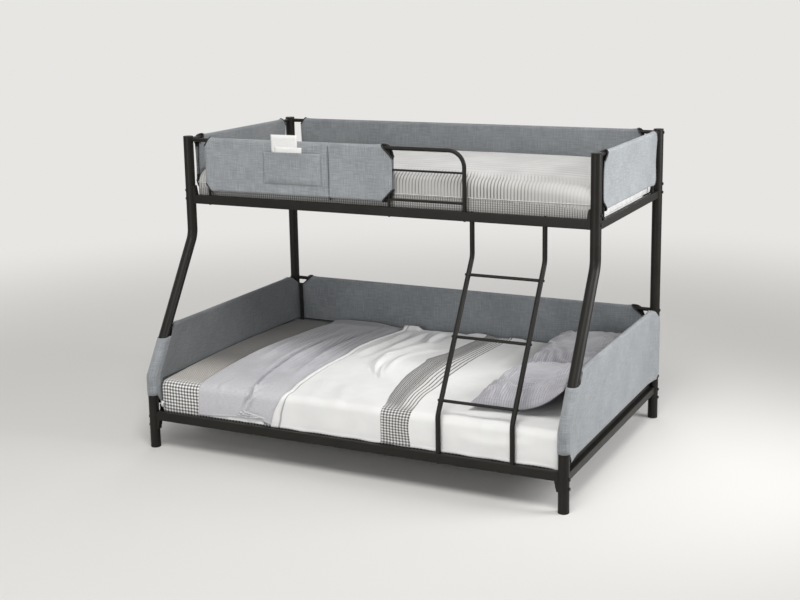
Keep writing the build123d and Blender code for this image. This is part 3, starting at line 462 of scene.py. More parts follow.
powderCoat = metalPaint("powder_coat", (0.0075, 0.0069, 0.0056), (0.0135, 0.0124, 0.0101), 0.42)
boltBlack = metalPaint("bolt_black", (0.008, 0.0076, 0.007), (0.02, 0.019, 0.0175), 0.34)
mouldedPlastic = metalPaint("moulded_plastic", (0.007, 0.007, 0.007), (0.014, 0.0135, 0.013), 0.55)
panelCloth = panelPaint("panel_cloth", 1.0)
# painted shade: a darker copy of the panel cloth for the lower end panels
lowerShadeCloth = panelPaint("lower_panel_cloth_painted_shade", 0.88)
# painted shade: darker copies of the panel cloth for the inner sides of the panels
innerShadeCloths = {
    "upper": panelPaint("panel_cloth_upper_inside_painted_shade", 0.76),
    "back": panelPaint("panel_cloth_back_inside_painted_shade", 0.92),
    "end": panelPaint("panel_cloth_end_inside_painted_shade", 0.5),
}
blackLining = plainCloth("black_lining", (0.01, 0.01, 0.011), (0.02, 0.02, 0.022), 30.0, 0.0005)
darkThread = plainCloth("dark_thread", (0.05, 0.055, 0.06), (0.09, 0.1, 0.11), 60.0, 0.0002)
whiteTape = plainCloth("white_tape", (0.7, 0.7, 0.69), (0.8, 0.8, 0.79), 40.0, 0.0004)
mattressEnd = plainCloth("mattress_end", (0.56, 0.556, 0.545), (0.7, 0.697, 0.688), 26.0, 0.0004)
mattressCloth = mattressPaint()
checkSheet = sheetPaint()
blanketCloth = blanketPaint()
duvetCloth = duvetPaint()
crinkledCotton = pillowPaint()
paper = paperPaint((0.69, 0.69, 0.683), (0.75, 0.75, 0.742))
print("materials made")


# Mesh helpers
class Skin:
    # patches of quads with their flat coordinates, made into one piece
    def __init__(self):
        self.points, self.cuts, self.bands, self.faces, self.inks = [], [], [], [], []

    def patch(self, points, cuts, ink=0, band=None):
        start = len(self.points)
        rows, columns = points.shape[:2]
        self.points.extend(points.reshape(-1, 3).tolist())
        self.cuts.extend(cuts.reshape(-1, 2).tolist())
        self.bands.extend((cuts if band is None else band).reshape(-1, 2).tolist())
        inks = np.broadcast_to(ink, (rows - 1, columns - 1))
        for r, c in np.ndindex(rows - 1, columns - 1):
            a = start + r * columns + c
            self.faces.append((a, a + 1, a + columns + 1, a + columns))
            self.inks.append(int(inks[r, c]))

    def piece(self, name, paints, slot, body, crease=38, banded=False, outward=False):
        mesh = bpy.data.meshes.new(name)
        mesh.from_pydata(self.points, [], self.faces)
        corners = np.zeros(len(mesh.loops), dtype=np.int64)
        mesh.loops.foreach_get("vertex_index", corners)
        for layer, values in (("cut", self.cuts), ("band", self.bands))[: 2 if banded else 1]:
            mesh.uv_layers.new(name=layer).data.foreach_set("uv", np.array(values)[corners].ravel())
        mesh.polygons.foreach_set("material_index", self.inks)
        work = bmesh.new()
        work.from_mesh(mesh)
        bmesh.ops.remove_doubles(work, verts=work.verts, dist=2e-5)
        bmesh.ops.dissolve_degenerate(work, edges=work.edges, dist=1e-6)
        if not outward:
            bmesh.ops.recalc_face_normals(work, faces=work.faces)
        for face in work.faces:
            face.smooth = True
        for edge in work.edges:
            edge.smooth = len(edge.link_faces) != 2 or edge.calc_face_angle(0) < radians(crease)
        work.to_mesh(mesh)
        work.free()
        for paint in paints:
            mesh.materials.append(paint.material)
        made = bpy.data.objects.new(name, mesh)
        bpy.context.scene.collection.objects.link(made)
        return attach(made, body)


def thicken(piece, thickness, inside=0):
    solid = piece.modifiers.new("cloth_thickness", "SOLIDIFY")
    solid.thickness = thickness
    solid.offset = -1
    solid.use_quality_normals = True
    solid.material_offset = inside
    solid.material_offset_rim = 0


def grid(*parts):
    # coordinates or flat coordinates, side by side
    return np.stack(np.broadcast_arrays(*parts), axis=-1)


def bell(distance, width):
    return np.exp(-((distance / width) ** 2))


def fadeIn(distance, reach):
    # 0 at no distance, 1 from the reach on
    return np.clip(distance / reach, 0, 1)


def ease(share):
    return share * share * (3 - 2 * share)


def cloud(x, y, scale, seed=0.0):
    flat = zip(np.ravel(x), np.ravel(y))
    values = [noise.noise((a * scale, b * scale, seed)) for a, b in flat]
    return np.array(values).reshape(np.shape(x))


def dents(x, y, sizes, seed):
    # shallow dents of several sizes, each as (depth, scale)
    return sum(depth * (1 + cloud(x, y, scale, seed)) for depth, scale in sizes)


def waves(x, y, sizes):
    # low waves, each as (height, stretch across, stretch along, scale, seed)
    return sum(height * cloud(x * a, y * b, scale, seed) for height, a, b, scale, seed in sizes)


def runLength(spots):
    return np.concatenate([[0], np.cumsum(np.hypot(*np.diff(spots, axis=0).T))])


def smoothPath(points, count):
    # a Catmull-Rom line through listed points
    marks = np.array([points[0], *points, points[-1]], dtype=float)
    path = []
    for t in np.linspace(0, len(points) - 1, count):
        i = min(int(t), len(points) - 2)
        f = t - i
        a, b, c, d = marks[i : i + 4]
        bend, twist = 2 * a - 5 * b + 4 * c - d, 3 * b - a - 3 * c + d
        path.append(0.5 * (2 * b + (c - a) * f + bend * f**2 + twist * f**3))
    return np.array(path)


def alongPath(marks, at):
    # value at each depth, smooth between listed (depth, value) marks
    path = smoothPath(marks, 60)
    return np.interp(at, path[:, 0], path[:, 1])


def tubeAlong(skin, path, radius, sides, closed=False):
    # round cord along a list of points
    path = [Vector(p) for p in path]
    count = len(path)
    turns = [2 * pi * k / sides for k in range(sides + 1)]
    rings, runs, lastUp = [], [], None
    run = 0.0
    for i, spot in enumerate(path):
        before = path[(i - 1) % count] if closed or i else spot
        after = path[(i + 1) % count] if closed or i < count - 1 else spot
        heading = (after - before).normalized()
        side = heading.cross(lastUp) if lastUp else heading.orthogonal()
        side.normalize()
        lastUp = side.cross(heading).normalized()
        run += (spot - path[i - 1]).length if i else 0.0
        rings.append([list(spot + (side * cos(a) + lastUp * sin(a)) * radius) for a in turns])
        runs.append(run)
    if closed:
        rings.append(rings[0])
        runs.append(run + (path[0] - path[-1]).length)
    skin.patch(np.array(rings), grid(np.array(runs)[:, None], radius * np.array(turns)))


def cordPiece(name, paint, slot, body, path, radius, sides=6, closed=False):
    skin = Skin()
    tubeAlong(skin, path, radius, sides, closed)
    return skin.piece(name, [paint], slot, body)


def clothPiece(name, paint, slot, body, points, cuts, cloth, band=None):
    # one patch of cloth or paper with a thickness
    skin = Skin()
    skin.patch(points, cuts, band=band)
    piece = skin.piece(name, [paint], slot, body, banded=band is not None, outward=True)
    thicken(piece, cloth)
    return piece


# Carried-over metal: merged, smooth-shaded and painted
def smoothingGroup(limit):
    group = bpy.data.node_groups.new("smooth_metal", "GeometryNodeTree")
    group.interface.new_socket("Geometry", in_out="INPUT", socket_type="NodeSocketGeometry")
    group.interface.new_socket("Geometry", in_out="OUTPUT", socket_type="NodeSocketGeometry")
    start = group.nodes.new("NodeGroupInput")
    merge = group.nodes.new("GeometryNodeMergeByDistance")
    merge.inputs["Distance"].default_value = 1e-6
    faces = group.nodes.new("GeometryNodeSetShadeSmooth")
    edges = group.nodes.new("GeometryNodeSetShadeSmooth")
    edges.domain = "EDGE"
    angle = group.nodes.new("GeometryNodeInputMeshEdgeAngle")
    compare = group.nodes.new("FunctionNodeCompare")
    compare.operation = "LESS_THAN"
    compare.inputs[1].default_value = radians(limit)
    end = group.nodes.new("NodeGroupOutput")
    for source, target in (
        (start.outputs[0], merge.inputs["Geometry"]),
        (merge.outputs[0], faces.inputs["Geometry"]),
        (faces.outputs[0], edges.inputs["Geometry"]),
        (angle.outputs[0], compare.inputs[0]),
        (compare.outputs[0], edges.inputs["Shade Smooth"]),
        (edges.outputs[0], end.inputs[0]),
    ):
        group.links.new(source, target)
    return group


smoothMetal = smoothingGroup(32)
metalPaints = {
    "black_metal": powderCoat,
    "bolt_steel": boltBlack,
    "black_plastic": mouldedPlastic,
}
for row in frame["record"]["subparts"]:
    paint = metalPaints.get(row["material_slot"])
    if paint:
        node = frame["nodes"][row["node"]]
        for place in node.material_slots:
            place.material = paint.material
        smoothing = node.modifiers.new("smooth_metal", "NODES")
        smoothing.node_group = smoothMetal
print("metal painted")


# Padded sleeves over two bars, open at their cut corners
sleeveSizes = {
    "step": 0.014,
    "rise": 0.009,
    "foldSteps": 6,
    "topSteps": 14,
    "cloth": 0.0026,
    "topFold": 0.0128,
    "seamX": -0.25,
    "seamDepth": 0.0018,
    "seamWidth": 0.0016,
    "seamMarks": (-0.006, -0.003, -0.0012, 0, 0.0012, 0.003, 0.006),
    "dents": ((0.0008, 9.0), (0.0005, 38.0)),
    "flare": 0.0036,
    "flareReach": 0.02,
    "gusset": 0.6,
    "lined": 0.058,
    "binding": 0.0033,
    "bindingReach": 0.004,
}
plainCut = (0.058, 0.046)
smallCut = (0.026, 0.032)
endCut = (0.045, 0.040)
# per sleeve: radius of its lower fold, corner cuts at its two ends, and the darker copy of the cloth that
# paints shade on its inner side
sleeves = {
    "upper_front_panel": {"fold": 0.0103, "near": (0.030, 0.038), "far": (0.053, 0.054), "inner": "upper"},
    "upper_back_panel": {"fold": 0.0103, "near": smallCut, "far": smallCut, "inner": "upper"},
    "upper_end_panel_left": {"fold": 0.0103, "near": endCut, "far": smallCut, "inner": "upper"},
    "upper_end_panel_right": {"fold": 0.0103, "near": endCut, "far": smallCut, "inner": "upper"},
    "lower_back_panel": {"fold": 0.0128, "near": plainCut, "far": plainCut, "inner": "back"},
}


def foldLoop(lowZ, lowRadius, topZ, topRadius):
    # section points as (offset, height, normal offset, normal height, softness)
    def turn(radius, z, first, sweep, steps):
        angles = [first + sweep * k / steps for k in range(steps + 1)]
        return [(radius * cos(a), z + radius * sin(a), cos(a), sin(a), 0) for a in angles]

    count = ceil((topZ - lowZ) / sleeveSizes["rise"])
    shares = [k / count for k in range(1, count)]
    side = [(lowRadius + (topRadius - lowRadius) * f, lowZ + (topZ - lowZ) * f, sin(pi * f)) for f in shares]
    loop = turn(lowRadius, lowZ, -pi / 2, -pi / 2, sleeveSizes["foldSteps"])
    loop += [(-offset, z, -1, 0, soft) for offset, z, soft in side]
    loop += turn(topRadius, topZ, pi, -pi, sleeveSizes["topSteps"])
    loop += [(offset, z, 1, 0, soft) for offset, z, soft in side[::-1]]
    loop += turn(lowRadius, lowZ, 0, -pi / 2, sleeveSizes["foldSteps"])
    return np.array(loop)


def makeSleeve(node, shape):
    near, far = shape["near"], shape["far"]
    low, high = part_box(node)
    alongY = high.y - low.y > high.x - low.x
    start, end = (low.y, high.y) if alongY else (low.x, high.x)
    middle = (low.x + high.x) / 2 if alongY else (low.y + high.y) / 2
    topRadius = sleeveSizes["topFold"]
    loop = foldLoop(low.z + shape["fold"], shape["fold"], high.z - topRadius, topRadius)
    offset, height, normalOut, normalUp, soft = loop.T[:, :, None]
    fromTop, fromBase = high.z - height, height - low.z
    nearest = np.minimum(fromTop, fromBase)
    # the layer away from the viewer is cut less, so its black lining shows at the corners
    viewed = -1 if alongY else 1
    share = 1 - sleeveSizes["gusset"] * np.clip(normalOut * viewed, 0, 1)
    first = start + near[0] * share * (1 - fadeIn(nearest, near[1]))
    last = end - far[0] * share * (1 - fadeIn(nearest, far[1]))
    marks = list(np.linspace(start, end, ceil((end - start) / sleeveSizes["step"])))
    seamed = node == "upper_front_panel"
    if seamed:
        marks += [sleeveSizes["seamX"] + d for d in sleeveSizes["seamMarks"]]
    run = np.clip(np.array(sorted(marks)), first, last)
    around = np.broadcast_to(runLength(loop[:, :2])[:, None], run.shape)
    dent = -dents(run, around, sleeveSizes["dents"], start) * soft
    if seamed:
        dent -= sleeveSizes["seamDepth"] * bell(run - sleeveSizes["seamX"], sleeveSizes["seamWidth"])
    for fromEnd in (run - first, last - run):
        dent += sleeveSizes["flare"] * (1 - soft) * bell(fromEnd, sleeveSizes["flareReach"])
    out = middle + offset + normalOut * dent
    up = height + normalUp * dent
    points = grid(out, run, up) if alongY else grid(run, out, up)
    # black lining at the corners only, plain cloth between them; inward faces get the darker copy that
    # paints shade
    inward = normalOut[:-1] * (1 if middle < 0 else -1) > 0.3
    between = nearest[:-1] > sleeveSizes["lined"]
    skin = Skin()
    skin.patch(points, grid(run, around), np.where(inward, 2, 0) + np.where(between, 4, 0))
    inner = innerShadeCloths[shape["inner"]]
    paints = [panelCloth, blackLining, inner, blackLining, panelCloth, panelCloth, inner, inner]
    piece = skin.piece(node + "_cloth", paints, "panel_fabric", "frame")
    thicken(piece, sleeveSizes["cloth"], inside=1)
    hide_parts(node)
    # black binding along the cut corners
    tape = Skin()
    count = len(loop)
    for column, cut in ((0, near), (-1, far)):
        reach = cut[1] + sleeveSizes["bindingReach"]
        upper = [k for k in range(count) if fromTop[k, 0] < reach]
        under = [k for k in range(1, count) if fromBase[k, 0] < reach]
        under.sort(key=lambda k: k <= count / 2)
        for rows in (upper, under):
            tubeAlong(tape, points[rows, column], sleeveSizes["binding"], 6)
    tape.piece(node + "_binding", [blackLining], "panel_fabric", "frame")


for node, shape in sleeves.items():
    makeSleeve(node, shape)
print("sleeves made")

# Lower end panels, wrapped round the leg and the post
wrap = {
    "bulge": 0.0273,
    "web": 0.0128,
    "taper": 0.13,
    "collarDrop": 0.051,
    "collarRise": 0.054,
    "frontCut": 0.036,
    "backTopCut": (0.096, 0.072),
    "backLowCut": (0.061, 0.056),
    "cloth": 0.0026,
    "bendZ": 0.345,
    "slope": 0.6226,
    "frontY": -0.674,
    "backY": 0.674,
    "notchGap": 0.0002,
    "notchSpan": 0.009,
    "legMarks": (0.024, 0.015, 0.007),
    "bandRows": {"low": 6, "mid": 17, "top": 6},
    "foldSteps": 6,
    "dents": ((0.0008, 9), (0.0005, 34)),
}
stretch = sqrt(1 + wrap["slope"] ** 2)
notch = wrap["bulge"] * stretch


def wrapOutline():
    # half of the plan outline, from behind the post to the front of the leg: (kind, amount)
    half = [("post", a) for a in np.linspace(pi / 2, 0, 9)]
    half += [("backTaper", f) for f in np.linspace(0.12, 1, 9)]
    half += [("web", f) for f in np.linspace(0.02, 0.98, 58)]
    behind = (*np.linspace(wrap["taper"], notch + wrap["notchSpan"], 10), notch + wrap["notchGap"])
    half += [("legTaper", d) for d in (*behind, notch - wrap["notchGap"], *wrap["legMarks"])]
    half += [("leg", a) for a in np.linspace(0, -pi / 2, 11)]
    return [(1, *h) for h in half] + [(-1, *h) for h in half[::-1][1:]]


def wrapSpot(kind, amount, z):
    # distance from the panel's middle plane, and depth
    web, bulge, taper, backY = wrap["web"], wrap["bulge"], wrap["taper"], wrap["backY"]
    centre = wrap["frontY"] + max(z - wrap["bendZ"], 0) * wrap["slope"]
    if kind == "post":
        return bulge * cos(amount), backY + bulge * sin(amount)
    if kind == "backTaper":
        return bulge + (web - bulge) * amount, backY - taper * amount
    if kind == "web":
        return web, backY - taper + (centre + 2 * taper - backY) * amount
    if kind == "legTaper":
        return web + (bulge - web) * (1 - amount / taper), centre + amount
    grow = stretch if z > wrap["bendZ"] else 1.0
    return bulge * cos(amount), centre + bulge * grow * sin(amount)


def wrapLimits(kind, amount, base, top):
    # where the cloth begins and ends over one point of the outline
    collarTop, collarBase = top - wrap["collarDrop"], base + wrap["collarRise"]
    backEdge = wrap["backY"] + wrap["bulge"]

    def cut(y, corner):
        along, up = corner
        return up * max(0, (y - (backEdge - along)) / along)

    forward = kind == "leg" or (kind == "legTaper" and amount < notch)
    highest = top - cut(wrapSpot(kind, amount, collarTop)[1], wrap["backTopCut"])
    highest = min(collarTop if forward else top, highest)
    y = wrapSpot(kind, amount, base)[1]
    lowest = base + cut(y, wrap["backLowCut"])
    if kind == "leg":
        lowest = collarBase
    elif y < wrap["frontY"] + wrap["frontCut"]:
        lowest = collarBase - (collarBase - base) * (y - wrap["frontY"]) / wrap["frontCut"]
    return lowest, highest


def wrapHeights(lowest, highest, base, top):
    # rows up one column as (height, how far the fold draws in)
    fold = wrap["web"]
    closed = lowest <= base + 1e-6, highest >= top - 1e-6
    collarTop, collarBase = min(top - wrap["collarDrop"], highest), base + wrap["collarRise"]
    innerLow = base + fold if closed[0] else min(lowest, collarBase)
    innerTop = top - fold if closed[1] else highest
    turns = [pi / 2 * k / wrap["foldSteps"] for k in range(1, wrap["foldSteps"] + 1)]
    heights = [(base + fold - fold * sin(a), 1 - cos(a)) if closed[0] else (lowest, 0) for a in turns[::-1]]
    spans = {"low": (innerLow, collarBase), "mid": (collarBase, collarTop), "top": (collarTop, innerTop)}
    for band, (first, last) in spans.items():
        shares = np.linspace(0, 1, wrap["bandRows"][band])
        heights += [(first + (last - first) * f, 0) for f in (shares if band == "low" else shares[1:])]
    heights += [(top - fold + fold * sin(a), 1 - cos(a)) if closed[1] else (highest, 0) for a in turns]
    return heights, closed


def makeWrap(node):
    low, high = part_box(node)
    x = (low.x + high.x) / 2
    columns = wrapOutline()
    points, cuts, closings = [], [], []
    around, last = 0.0, None
    for side, kind, amount in columns:
        heights, closed = wrapHeights(*wrapLimits(kind, amount, low.z, high.z), low.z, high.z)
        closings.append(closed)
        across, y = wrapSpot(kind, amount, 0.4)
        here = Vector((side * across, y))
        around += (here - last).length if last else 0.0
        last = here
        column = []
        for z, draw in heights:
            across, y = wrapSpot(kind, amount, z)
            across = max(across - wrap["web"] * draw, 0) if kind != "leg" else across
            soft = sin(pi * min(max((z - low.z) / (high.z - low.z), 0), 1)) * (kind in ("web", "legTaper"))
            for (depth, scale), seed in zip(wrap["dents"], (x + side, x - side)):
                across -= depth * (1 + noise.noise((y * scale, z * scale, seed))) * soft
            column.append((x + side * across, y, z))
        points.append(column)
        cuts.append([(around, z) for z, _ in heights])
    points, cuts = (np.array(v).swapaxes(0, 1) for v in (points, cuts))
    # faces turned in towards the bed take the darker copy of the cloth, as painted shade
    inward = [
        side * x < 0 and kind != "leg" and (kind != "legTaper" or amount > notch)
        for side, kind, amount in columns[:-1]
    ]
    skin = Skin()
    skin.patch(points, cuts, np.where(inward, 2, 0)[None, :])
    # the folded top and bottom close over the web and spread where the panel widens
    count = len(columns)
    for row, end in ((0, 0), (-1, 1)):
        pairs = [c for c in range(count // 2 + 1) if closings[c][end]]
        left = points[row, pairs]
        right = points[row, [count - 1 - c for c in pairs]]
        strip = np.stack([left, (left + right) / 2, right], axis=0)
        skin.patch(strip, strip[..., 1::-1])
    # painted shade: the lower panels wear the darker copy outside and a still darker copy on their inward
    # faces
    paints = [lowerShadeCloth, blackLining, innerShadeCloths["end"], blackLining]
    piece = skin.piece(node + "_cloth", paints, "panel_fabric", "frame", crease=50)
    thicken(piece, wrap["cloth"], inside=1)
    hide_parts(node)


for node in ("lower_end_panel_left", "lower_end_panel_right"):
    makeWrap(node)

# Black tape between the back panel and the wrapped panels, and a dark plate on each lower end rail that
# paints the shadow in the gap under the panel
cornerTape = {
    "outerX": 0.9985,
    "innerX": 0.966,
    "y": 0.6735,
    "low": 0.248,
    "high": 0.522,
    "bow": 0.002,
    "cloth": 0.0012,
}
deckShadowPlate = {"innerX": 1.0128, "thick": 0.003, "low": 0.1641, "high": 0.2022, "reach": 0.64}


def makeCornerTape(side, sign):
    outer, inner = cornerTape["outerX"], cornerTape["innerX"]
    x, z = np.meshgrid(np.linspace(outer, inner, 7), np.linspace(cornerTape["low"], cornerTape["high"], 26))
    y = cornerTape["y"] - cornerTape["bow"] * np.sin((x - inner) / (outer - inner) * pi)
    name, points, cloth = f"corner_tape_{side}", grid(x * sign, y, z), cornerTape["cloth"]
    clothPiece(name, blackLining, "panel_fabric", "frame", points, grid(x, z), cloth)


# dark plate from the rail's top to the panel's foot, as painted shadow
def makeDeckShadowPlate(side, sign):
    inner, low, thick = deckShadowPlate["innerX"], deckShadowPlate["low"], deckShadowPlate["thick"]
    radius = thick / 2
    middle, topZ = inner + radius, deckShadowPlate["high"] - radius
    turns = np.linspace(0, pi, 7)
    profile = [(middle - radius * cos(a), topZ + radius * sin(a)) for a in turns]
    profile = [(inner, low), *profile, (inner + thick, low), (inner, low)]
    ys = np.linspace(-deckShadowPlate["reach"], deckShadowPlate["reach"], 24)
    rows = np.array([[(sign * x, y, z) for x, z in profile] for y in ys])
    shadowPlate = Skin()
    shadowPlate.patch(rows, rows[..., 1:])
    for row in (rows[0], rows[-1]):
        centre = row.mean(axis=0)
        cap = np.array([row, centre + (row - centre) * 0.02])
        shadowPlate.patch(cap, cap[..., 1:])
    shadowPlate.piece(f"deck_shadow_plate_{side}", [powderCoat], "black_metal", "frame")


for side, sign in (("left", -1), ("right", 1)):
    makeCornerTape(side, sign)
    makeDeckShadowPlate(side, sign)
print("wrapped panels made")

# Storage pocket, its seams and the papers in it
pocket = {
    "flange": 0.005,
    "flangeMarks": (0.3, 0.6, 0.9, 1, 1.3, 1.6, 2),
    "floorMarks": (0.002, 0.004, 0.007, 0.009, 0.012),
    "ramp": 0.034,
    "floor": 0.03,
    "hem": 0.016,
    "hemGroove": (0.0007, 0.0016),
    "foldGroove": (0.0009, 0.004),
    "cloth": 0.00098,
    "skin": 0.0008,
    "sink": 0.0034,
    "dents": ((0.0006, 30.0),),
    "mouthDrop": 0.007,
}
stitchSizes = {
    "length": 0.0036,
    "thread": 0.0004,
    "gap": 0.0019,
    "dip": 0.0005,
    "insets": (0.0025, 0.0062),
    "fromSeam": 0.0052,
    "raised": 0.0001,
    "belowMouth": 0.002,
    "fromEdges": 0.03,
    "sunk": (0.0020, 0.0002),
}
pocketLow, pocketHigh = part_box("storage_pocket")
panelLow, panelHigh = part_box("upper_front_panel")
mouthZ = pocketHigh.z - pocket["mouthDrop"]


def makePocket():
    left, right, base = pocketLow.x, pocketHigh.x, pocketLow.z
    hemLine = mouthZ - pocket["hem"]
    xs = set(np.linspace(left, right, 60))
    for k in pocket["flangeMarks"]:
        xs |= {left + pocket["flange"] * k, right - pocket["flange"] * k}
    zs = set(np.linspace(base, mouthZ, 30))
    zs |= {base + d for d in pocket["floorMarks"]} | {hemLine + d for d in (-0.002, 0, 0.002)}
    x, z = np.meshgrid(sorted(xs), sorted(zs))
    inward = np.minimum(x - left, right - x)
    sideRamp = ease(fadeIn(inward - pocket["flange"], pocket["ramp"]))
    ramp = sideRamp * np.sin(fadeIn(z - base, pocket["floor"]) * pi / 2)
    depth = pocket["skin"] + (panelLow.y - pocketLow.y - pocket["skin"]) * ramp
    # the sewn border sinks into the panel's cloth
    border = np.minimum(inward, z - base)
    depth -= pocket["sink"] * (1 - fadeIn(border, pocket["flange"]))
    depth -= dents(x, z, pocket["dents"], 3.0) * ramp
    foldLine = base + pocket["floor"] + 0.01 * np.sin((x - left) * 9)
    for line, (deep, width) in ((hemLine, pocket["hemGroove"]), (foldLine, pocket["foldGroove"])):
        depth -= deep * bell(z - line, width) * sideRamp
    points, cuts = grid(x, panelLow.y - depth, z), grid(x + 0.4, z + 0.3)
    name, cloth = "storage_pocket_cloth", pocket["cloth"]
    piece = clothPiece(name, panelCloth, "panel_fabric", "frame", points, cuts, cloth)
    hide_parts("storage_pocket")


def stitchRow(skin, start, end):
    # dashes of thread along a straight seam
    start, end = Vector(start), Vector(end)
    thread, length = stitchSizes["thread"], stitchSizes["length"]
    pitch = length + stitchSizes["gap"]
    way = (end - start).normalized()
    lift, dip = Vector((0, -thread, 0)), way * stitchSizes["dip"]
    for k in range(int((end - start).length / pitch)):
        first = start + way * (k * pitch)
        last = first + way * length
        tubeAlong(skin, [first, first + dip + lift, last - dip + lift, last], thread, 6)


def makeStitches():
    size, stitches = stitchSizes, Skin()
    y, top = panelLow.y - pocket["skin"] - size["raised"], mouthZ - size["belowMouth"]
    for inset in size["insets"]:
        for x in (pocketLow.x + inset, pocketHigh.x - inset):
            stitchRow(stitches, (x, y, pocketLow.z + inset), (x, y, top))
    low, high = panelLow.z + size["fromEdges"], panelHigh.z - size["fromEdges"]
    footY, headY = (panelLow.y + sunk for sunk in size["sunk"])
    for way in (-1, 1):
        x = sleeveSizes["seamX"] + way * size["fromSeam"]
        stitchRow(stitches, (x, footY, low), (x, headY, high))
    stitches.piece("panel_stitches", [darkThread], "panel_fabric", "frame")


# cord in the panel's seam, nearer the face at its top, and the tag sewn in at its foot
seamCord = {"low": 0.012, "high": 0.014, "sunk": 0.0026, "rise": 0.0024, "over": 0.256, "radius": 0.0012}
seamTag = {"half": 0.006, "below": 0.011, "above": 0.006, "sunk": 0.0115, "slope": 0.010, "cloth": 0.0009}


def makeSeamCord():
    heights = np.linspace(panelLow.z + seamCord["low"], panelHigh.z - seamCord["high"], 40)
    depths = seamCord["sunk"] - seamCord["rise"] * (heights - panelLow.z) / seamCord["over"]
    path = grid(sleeveSizes["seamX"], panelLow.y + depths, heights)
    cordPiece("panel_seam", darkThread, "panel_fabric", "frame", path, seamCord["radius"])


def makeSeamTag():
    half = seamTag["half"]
    xs = np.linspace(-half, half, 5) + sleeveSizes["seamX"]
    zs = np.linspace(panelLow.z - seamTag["below"], panelLow.z + seamTag["above"], 8)
    x, z = np.meshgrid(xs, zs)
    turned = np.clip((z - panelLow.z) / seamTag["above"], -0.3, 1)
    points = grid(x, panelLow.y + seamTag["sunk"] - seamTag["slope"] * turned, z)
    clothPiece("seam_tag", blackLining, "panel_fabric", "frame", points, grid(x, z), seamTag["cloth"])


papers = {
    "booklet": {"sheets": 5, "lean": -0.006, "bow": 0.0012, "rise": 0.020, "lift": 0.0},
    "card": {"sheets": 1, "lean": 0.004, "bow": 0.0005, "rise": 0.020, "lift": 0.019},
}
leaf = {
    "thick": 0.0004,
    "trim": 0.0012,
    "left": 0.0005,
    "right": 0.001,
    "top": 0.0005,
    "back": 0.0001,
    "stack": 0.0006,
    "single": 0.0002,
}


def makePapers(node, size):
    low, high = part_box(node)
    skin = Skin()
    for k in range(size["sheets"]):
        back = (low.y + high.y) / 2 + leaf["single"]
        if size["sheets"] > 1:
            back = high.y - leaf["back"] - (high.y - low.y - leaf["stack"]) * k / (size["sheets"] - 1)
        trim = leaf["trim"] * (k % 3)
        xs = np.linspace(low.x + leaf["left"], high.x - leaf["right"] - trim, 14)
        zs = np.linspace(low.z + size["rise"], high.z - leaf["top"] - trim + size["lift"], 16)
        x, z = np.meshgrid(xs, zs)
        part = (z - low.z) / (high.z - low.z)
        bow = size["bow"] * np.sin((x - low.x) / (high.x - low.x) * pi) * part**2 * (1 if k else -0.4)
        x = x + size["lean"] * (part - 0.5)
        skin.patch(grid(x, back - bow, z), grid(x, z))
    piece = skin.piece(node + "_leaves", [paper], "white_paper", "papers", outward=True)
    thicken(piece, leaf["thick"])
    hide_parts(node)


makePocket()
makeStitches()
makeSeamCord()
makeSeamTag()
for node, size in papers.items():
    makePapers(node, size)
print("pocket and papers made")


# Mattresses: one crowned section, drawn in towards the ends
mattresses = {
    "upper_mattress": {
        "piece": "upper_mattress_cover",
        "paints": [mattressCloth, mattressEnd],
        "slot": "mattress_fabric",
        "body": "upper_mattress_body",
        "side": 0.172,
        "crown": 0.018,
        "foot": 0.024,
        "knee": 0.044,
        "endRound": 0.03,
        "endDraw": 0.010,
        "longer": 0.006,
        "sag": 0.05,
        "gap": 0.016,
        "ripple": 0.0009,
    },
    "lower_mattress": {
        "piece": "lower_mattress_sheet",
        "paints": [checkSheet],
        "slot": "sheet_fabric",
        "body": "frame",
        "side": 0.172,
        "crown": 0.020,
        "foot": 0.024,
        "knee": 0.036,
        "endRound": 0.036,
        "endDraw": 0.012,
        "longer": 0.008,
        "sag": 0.0,
        "gap": 0.02,
        "ripple": 0.0008,
    },
}
# how far from the ends the top droops, and how much that moves each part of the section
droopSizes = {"reach": 0.14, "across": 1.1, "upward": 0.6, "shoulder": 0.5}
# the closed ends bulge out over these rings, as (scale, bulge)
endRings = ((1, 0), (0.94, 0.0012), (0.8, 0.002), (0.5, 0.0026), (0.2, 0.0028), (0.0, 0.0028))


